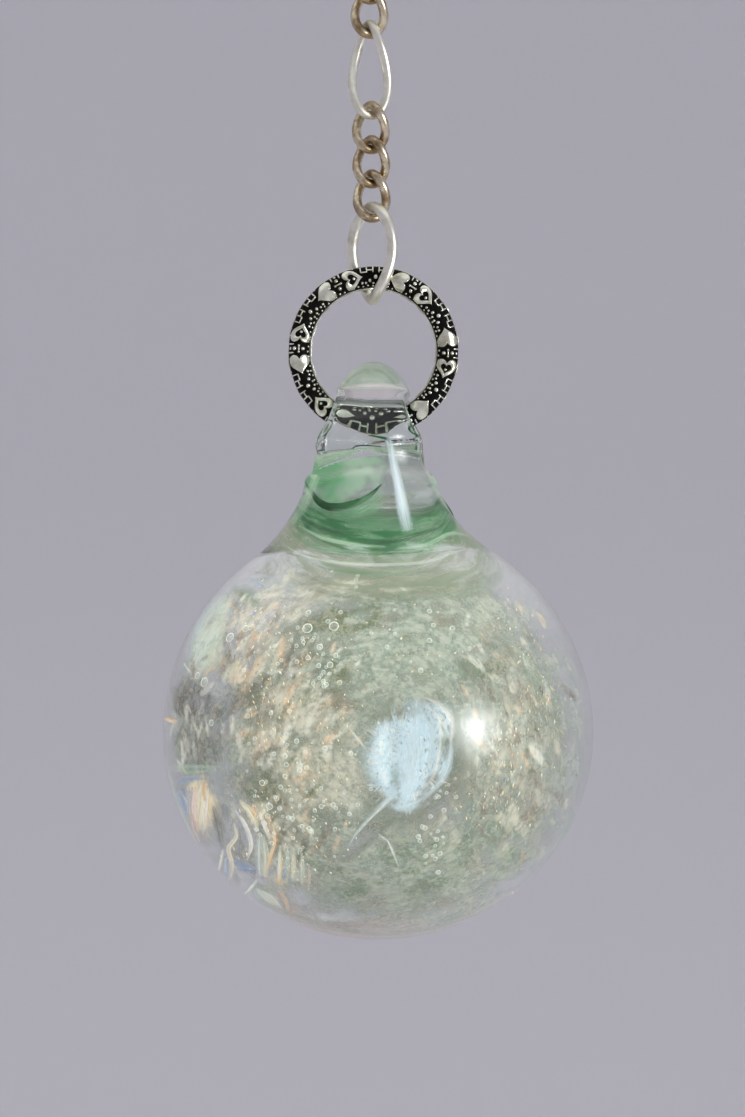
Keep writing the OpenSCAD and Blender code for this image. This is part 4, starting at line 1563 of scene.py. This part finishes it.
def painted_leaf(name, smears, window, place_of, in_ball=False, streaky=1.0):
    """A thin leaf of glass over a window of the photograph, with soft ragged smears of colour laid in order.

    In the ball it ends at the ball's rim and is clear in front of the wisp.
    """
    left, top, right, bottom, step = window
    px_x, px_y = np.meshgrid(np.arange(left, right, step), np.arange(top, bottom, step))
    ragged = np.array([
        noise.fractal(Vector((x / SMEAR_RAG_PX, y / SMEAR_RAG_PX, 3.0)), *LEAF_NOISE)
        for x, y in zip(px_x.ravel(), px_y.ravel())
    ]).reshape(px_x.shape)
    tints = np.zeros((*px_x.shape, 4)) + np.array(rgb(*SMEAR_LOOKS[smears[0][0]]))
    covers = np.zeros(px_x.shape)
    for look, thickness, x, y, half_w, half_h, lean in smears:
        reach = reach_in_oval(px_x, px_y, x, y, half_w, half_h, lean) + SMEAR_RAGGED * ragged
        share = thickness * (1 - rise(reach, *SMEAR_EDGE))
        tints += (np.array(rgb(*SMEAR_LOOKS[look])) - tints) * share[..., None]
        covers = 1 - (1 - covers) * (1 - share * SMEAR_DENSITY)
    out = np.hypot(px_x - BALL_PX_X, px_y - BALL_PX_Y)
    angle = np.arctan2(px_y - BALL_PX_Y, px_x - BALL_PX_X)
    by_turn, by_reach = LEAF_STREAKS
    drawn = np.stack([angle * by_turn, out * by_reach, np.zeros(out.shape)], axis=-1) * streaky
    faces = np.array(grid_faces(*px_x.shape))
    if in_ball:
        rim_fade = 1 - rise(np.hypot(*reach_in_ball(px_x, px_y)[:2]), LEAF_FADES, 1 - LEAF_FADES)
        covers = covers * rim_fade * (1 - LEAF_CLEARING * wisp_clearing(px_x, px_y))
    inside = covers > LEAF_THINNEST
    faces = faces[inside.ravel()[faces].all(axis=1)]
    leaf = mesh_piece(name, place_of(px_x, px_y).reshape(-1, 3), faces.tolist())
    store_looks(leaf, covers.ravel(), tints.reshape(-1, 4), drawn.reshape(-1, 3))
    edit(leaf)
    bpy.ops.mesh.delete_loose()
    leave_edit()
    return leaf


def in_casing(px_x, px_y, number):
    return seen_in_ball(px_x, px_y, CASING_REACH + CASING_SPAN * (number / len(CASING_SHEETS)))


def behind_casing(px_x, px_y):
    return seen_in_ball(px_x, px_y, LEAF_REACH)


def in_neck(px_x, px_y, number):
    return behind_front(px_x, px_y, NECK_SHEET_DEPTH + NECK_SHEET_STEP * number)


def behind_neck(px_x, px_y):
    return behind_front(px_x, px_y, NECK_LEAF_DEPTH)


def in_wisp(px_x, px_y, number):
    """Places on the wisp's cupped leaf, smaller than the ball's glass shows it."""
    low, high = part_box("pale_wisp")
    x = (px_x - BALL_PX_X) * PHOTO_MM_PER_PX / BALL_MAGNIFIES
    z = (BALL_PX_Y - px_y) * PHOTO_MM_PER_PX / BALL_MAGNIFIES
    middle_x = ((low.x + high.x) / 2 - ball_centre.x) / MM
    cup = WISP_CUP * (x - middle_x) ** 2 - WISP_LAYER * number
    return np.stack([x, cup - WISP_FORWARD, z], axis=-1) * MM + np.array(ball_centre)


def behind_wisp(px_x, px_y):
    return in_wisp(px_x, px_y, 0) + np.array((0, WISP_BODY_BACK * MM, 0))


# Green glass in the neck

# Veils under the neck's surface: low and high edge from the ring's wire, and depth, in millimetres
OUTER_VEIL = (-15.0, -5.0, 0.5)
INNER_VEIL = (-14.0, -5.0, 1.6)
DOME_VEIL = (2.3, 6.5, 0.45)
# Radius that every veil leaves free round the loop's hole
VEIL_HOLE_R = 3.2
# A sheet in the neck is cut off this far inside the glass's surface
TRIM_DEPTH = 0.1


def behind_front(px_x, px_y, depth):
    """The points under the glass's front that show at places of the photograph."""
    x = (np.asarray(px_x, float) - NECK_PX_X) * PHOTO_MM_PER_PX * MM
    z = wire_z + (WIRE_PX_Y - np.asarray(px_y, float)) * PHOTO_MM_PER_PX * MM
    near, far = np.full(x.shape, -SEARCH_FRONT * MM), np.zeros(x.shape)
    for _ in range(SEARCH_ROUNDS):
        middle = (near + far) / 2
        tried = np.stack([x, middle, z], axis=-1)
        outside = glass_field(tried.reshape(-1, 3)).reshape(x.shape) > -depth
        near = np.where(outside, middle, near)
        far = np.where(outside, far, middle)
    return np.stack([x, far, z], axis=-1)


# Threads of deep green glass under the neck's front: depth, then places in the photograph with the width
NECK_THREADS = (
    (0.5, ((313, 478, 0.1), (314, 492, 0.35), (321, 504, 0.6), (335, 509, 0.8), (352, 506, 0.7),
           (367, 499, 0.5), (380, 487, 0.08))),
    (0.5, ((333, 447, 0.14), (345, 449, 0.2), (362, 447, 0.14), (380, 449, 0.1))),
    (0.5, ((368, 438, 0.08), (380, 440, 0.2), (392, 443, 0.14), (404, 447, 0.05))),
    (0.5, ((336, 450, 0.1), (331, 451, 0.28), (329, 456, 0.3), (333, 459, 0.26), (337, 455, 0.1))),
    (0.5, ((419, 474, 0.1), (423, 476, 0.5), (427, 478, 0.2))),
    (0.6, ((431, 486, 0.08), (440, 500, 0.3), (449, 514, 0.35), (455, 526, 0.1))),
)


def glass_thread(depth, places):
    curve = bpy.data.curves.new("thread", "CURVE")
    curve.dimensions = "3D"
    curve.bevel_depth = MM
    curve.bevel_resolution = 3
    curve.resolution_u = 6
    spline = curve.splines.new("BEZIER")
    spline.bezier_points.add(len(places) - 1)
    for point, (px_x, px_y, width) in zip(spline.bezier_points, places):
        point.co = tuple(behind_front(px_x, px_y, depth))
        point.radius = width / 2
        let_curve_flow(point)
    curve.use_fill_caps = True
    thread = put_in_scene("thread", curve)
    pick(thread)
    bpy.ops.object.convert(target="MESH")
    return thread


def trim_to_glass(sheet):
    """Takes off what a sheet in the neck has outside the glass or hard by its surface."""
    return delete_points(sheet, glass_field(points_of(sheet)) > -TRIM_DEPTH)


def make_neck_veil(casing, low, high, depth):
    """A sheet that follows the neck's surface at that depth, between two heights over the ring's wire."""
    veil = copy_piece(casing)
    _, y, heights = ((points_of(veil) - np.array((0, 0, wire_z))) / MM).T
    in_hole = np.hypot(y, heights + HOLE_DROP) < VEIL_HOLE_R
    delete_points(veil, (heights < low) | (heights > high) | in_hole)
    set_points(veil, onto_glass(points_of(veil), depth * MM))
    return veil


# Wisp

def wisp_sheets():
    """The charted sheets of the wisp, with the fine tufts of its frayed edge."""
    chance = random.Random(SEEDS["tufts"])
    sheets = list(WISP_SHEETS)
    for x, y, spread, heading, length, count in WISP_TUFTS:
        for _ in range(count):
            turn = math.radians(heading + chance.gauss(0, TUFT_STRAY))
            start_x = x + chance.gauss(0, spread * TUFT_SPREAD)
            start_y = y + chance.gauss(0, spread * TUFT_SPREAD)
            reach = length * chance.uniform(*TUFT_LENGTHS)
            way = tuple(
                (start_x + reach * share * math.cos(turn), start_y - reach * share * math.sin(turn), width)
                for share, width in TUFT_WIDTHS
            )
            sheets.append((chance.choice(TUFT_LOOKS), chance.uniform(*TUFT_THICKNESSES), way))
    return sheets


# Studio

SKY = (0.93, 0.94, 0.97, 1)
# How bright the sky is round the pendant, and as it shows through the glass
SKY_OPEN = 0.88
SKY_THROUGH = 0.5
# Floor and wall of the studio, in metres
STAGE_Z = -0.5
STAGE_R = 1.2
STAGE_BEND = 0.5
STAGE_STEPS = 8
STAGE_WALL = 1.6
KEY_WAY = (0.774, -0.634, 0.06)
KEY_HOT_SHARE = 0.22
WHITE = (1.0, 1.0, 1.0)
# Lights: direction from the ball, distance, width, height, power, colour, and whether it is mirrored
LIGHTS = {
    "key": (KEY_WAY, 0.45, 0.36, 0.3, 6.6, (0.95, 0.98, 1.0), True),
    "key_fill": (KEY_WAY, 0.5, 0.3, 0.3, 0.5, WHITE, False),
    "left_fill": ((-0.8, -0.55, 0.45), 0.6, 0.3, 0.3, 1.8, WHITE, False),
    "top_soft": ((0.1, 0.2, 1.0), 0.7, 0.6, 0.6, 3.0, WHITE, False),
}
# How the key light fades from its middle, and what its fading part counts for beside its hot middle
KEY_FADE = 1.8
KEY_GLOW_SHARE = 0.8
# Camera, in millimetres and degrees
CAMERA_PLACE = (-0.3, -270.6, -58.5)
CAMERA_ROLL = 0.7
LENS = 100
SENSOR_W = 36


def make_stage():
    """A plain pale floor that rises into a wall all round, with no corner."""
    pick()
    bpy.ops.mesh.primitive_circle_add(
        vertices=96, radius=STAGE_R, fill_type="NGON", location=(0, 0, STAGE_Z))
    stage = bpy.context.object
    edit(stage)
    turns = [math.radians(90 * step / STAGE_STEPS) for step in range(STAGE_STEPS + 1)]
    for last, turn in zip(turns, turns[1:]):
        climb = STAGE_BEND * (math.cos(last) - math.cos(turn))
        out = (STAGE_R + STAGE_BEND * math.sin(turn)) / (STAGE_R + STAGE_BEND * math.sin(last))
        bpy.ops.mesh.extrude_region_move(TRANSFORM_OT_translate={"value": (0, 0, climb)})
        bpy.ops.transform.resize(value=(out, out, 1))
    bpy.ops.mesh.extrude_region_move(TRANSFORM_OT_translate={"value": (0, 0, STAGE_WALL)})
    bpy.ops.mesh.delete(type="FACE")
    leave_edit()
    settle(stage)
    bpy.ops.object.shade_smooth()
    stage.name = "stage"
    material, tree, shader = new_material("studio paper")
    plug(tree, shader, {"Base Color": rgb(215, 213, 218), "Roughness": 0.9})
    stage.data.materials.append(material)


def add_light(name, direction, distance, width, height, power, colour, mirrored):
    data = bpy.data.lights.new(name, "AREA")
    data.shape = "ELLIPSE"
    data.size = width
    data.size_y = height
    data.energy = power
    data.color = colour
    light = put_in_scene(name, data)
    way = Vector(direction).normalized()
    light.location = ball_centre + way * distance
    light.rotation_euler = way.to_track_quat("Z", "Y").to_euler()
    light.visible_camera = False
    light.visible_glossy = mirrored
    light.visible_transmission = False
    return light


def soften_light(light, hot_share):
    """Lets a light fade from its hot middle to its rim, so that glass mirrors it as a soft glow."""
    light.data.use_nodes = True
    tree = light.data.node_tree
    across = add_node(tree, "NewGeometry").outputs["Parametric"]
    centred = vector_maths(tree, "SUBTRACT", across, (0.5, 0.5, 0))
    reach = length_of(tree, vector_maths(tree, "MULTIPLY", centred, (2, 2, 0)))
    left = maths(tree, "SUBTRACT", 1.0, maths(tree, "MINIMUM", reach, 1.0))
    glow = maths(tree, "POWER", left, KEY_FADE)
    hot = ramp(tree, reach, hot_share * 1.5, hot_share * 0.5)
    plug(tree, tree.nodes["Emission"], {"Strength": weigh(tree, KEY_GLOW_SHARE, glow, hot)})


def light_studio():
    lights = {name: add_light(name, *values) for name, values in LIGHTS.items()}
    soften_light(lights["key"], KEY_HOT_SHARE)
    world = bpy.data.worlds.new("studio")
    world.use_nodes = True
    tree = world.node_tree
    open_air = tree.nodes["Background"]
    plug(tree, open_air, {"Color": SKY, "Strength": SKY_OPEN})
    through_glass = add_node(tree, "Background", {"Color": SKY, "Strength": SKY_THROUGH})
    is_through = add_node(tree, "LightPath").outputs["Is Transmission Ray"]
    skies = {0: is_through, 1: open_air.outputs[0], 2: through_glass.outputs[0]}
    plug(tree, tree.nodes["World Output"], {"Surface": add_node(tree, "MixShader", skies).outputs[0]})
    bpy.context.scene.world = world


def add_camera():
    data = bpy.data.cameras.new("camera")
    data.lens = LENS
    data.sensor_width = SENSOR_W
    camera = put_in_scene("camera", data)
    camera.location = [value * MM for value in CAMERA_PLACE]
    camera.rotation_euler = (math.pi / 2, math.radians(CAMERA_ROLL), 0)
    bpy.context.scene.camera = camera


add_camera()
make_stage()
light_studio()

polished = make_silver("polished silver", rgb(255, 253, 238), rgb(214, 209, 190), 0.36, 0.3, 0.04)
tarnished = make_silver("tarnished silver", rgb(240, 229, 202), rgb(146, 122, 88), 0.44, 0.2, 0.06)
cast_silver = make_cast_silver()
clear_glass = make_clear_glass()

dress(make_hanging_ring(), "plain_hanging_ring", polished, "chain", "polished_silver", "hanging_ring")
for node in ("upper_link_1", "upper_link_2", "lower_link_1", "lower_link_2", "lower_link_3"):
    link = make_link(SMALL_LINK, CHAIN_TURNS, node)
    dress(link, "worn_" + node, tarnished, "chain", "tarnished_silver", node)
long_link = make_link(LONG_LINK, CHAIN_TURNS, "long_link", LONG_LINK_TAPER)
dress(long_link, "worn_long_link", polished, "chain", "polished_silver", "long_link")
end_link = make_link(END_LINK, END_TURNS, "end_link")
dress(end_link, "worn_end_link", polished, "chain", "polished_silver", "end_link")
dress(make_cast_ring(), "cast_ring", cast_silver, "ring", "oxidised_silver", "heart_ring")

drop_glass = glass_blank()
relax_on_glass(drop_glass, RELAX_ROUNDS)
strata = make_strata()
outer_veil = make_neck_veil(drop_glass, *OUTER_VEIL)
dress(outer_veil, "green_strata_1", strata, "drop", "green_glass", "green_swirl")
dress(make_neck_veil(drop_glass, *INNER_VEIL), "green_strata_2", strata, "drop", "green_glass")
dress(make_neck_veil(drop_glass, *DOME_VEIL), "milky_dome", make_milk(), "drop", "green_glass")
dress(drop_glass, "glass_casing", clear_glass, "drop", "clear_glass", "glass_drop")
dress(make_bubbles(), "trapped_bubbles", make_bubbles_with_painted_rims(), "drop", "clear_glass")

deep_green = make_tinted("deep green glass", rgb(26, 92, 44), rgb(16, 68, 30), 900.0, 4.0, 0.6, 0.02, 0.25)
threads = join(*[glass_thread(*thread) for thread in NECK_THREADS])
dress(threads, "green_crescent", deep_green, "drop", "green_glass")

cream = make_tinted("cream flecks", rgb(196, 195, 178), rgb(166, 162, 138), 900.0, 3.0, 0.7, 0.14, 0.35)
gold = make_tinted("gold flecks", rgb(242, 230, 200), rgb(222, 196, 154), 900.0, 3.0, 0.7, 0.25, 0.35)
cream_flecks = make_cloud_flecks("cream_flecks")
dress(cream_flecks, "cream_flecks", cream, "drop", "flecked_glass", "flecked_core")
dress(make_cloud_flecks("gold_flecks"), "gold_flecks", gold, "drop", "flecked_glass")
cloud = make_cloud()
for radius, seed in CLOUD_SHELLS:
    dress(make_shell(radius, seed), f"cloud_shell_{round(radius)}", cloud, "drop", "flecked_glass")
dress(make_splinters(), "splinters", make_splinter_glass(), "drop", "flecked_glass")

drawn_glass = make_drawn_glass("drawn glass", DRAWN_PAINTED_GLOW)
smears = list(BALL_SMEARS) + scattered_smears(SMEAR_ZONES)
mottles = painted_leaf("mottles", smears, BALL_WINDOW_PX, behind_casing, in_ball=True)
dress(mottles, "mottled_leaf", make_mottled_glass(), "drop", "flecked_glass")
folds = make_sheets("folds", CASING_SHEETS, in_casing, CASING_STRANDS)
dress(folds, "drawn_folds", drawn_glass, "drop", "flecked_glass")
neck_leaf = painted_leaf("neck", NECK_SMEARS, NECK_WINDOW_PX, behind_neck, streaky=NECK_STREAKS)
dress(trim_to_glass(neck_leaf), "neck_leaf", drawn_glass, "drop", "green_glass")
neck_streaks = make_sheets("streaks", NECK_SHEETS, in_neck)
dress(trim_to_glass(neck_streaks), "neck_streaks", drawn_glass, "drop", "green_glass")
wisp_folds = make_sheets("wisp", wisp_sheets(), in_wisp)
wisp = join(wisp_folds, painted_leaf("body", WISP_SMEARS, WISP_WINDOW_PX, behind_wisp))
wisp_glass = make_drawn_glass("pale wisp glass", WISP_PAINTED_GLOW)
dress(wisp, "feathered_wisp", wisp_glass, "drop", "pale_glass", "pale_wisp")

scene = bpy.context.scene
scene.view_settings.view_transform = "Standard"
scene.cycles.transparent_max_bounces = 32
scene.cycles.transmission_bounces = 12
scene.cycles.max_bounces = 16
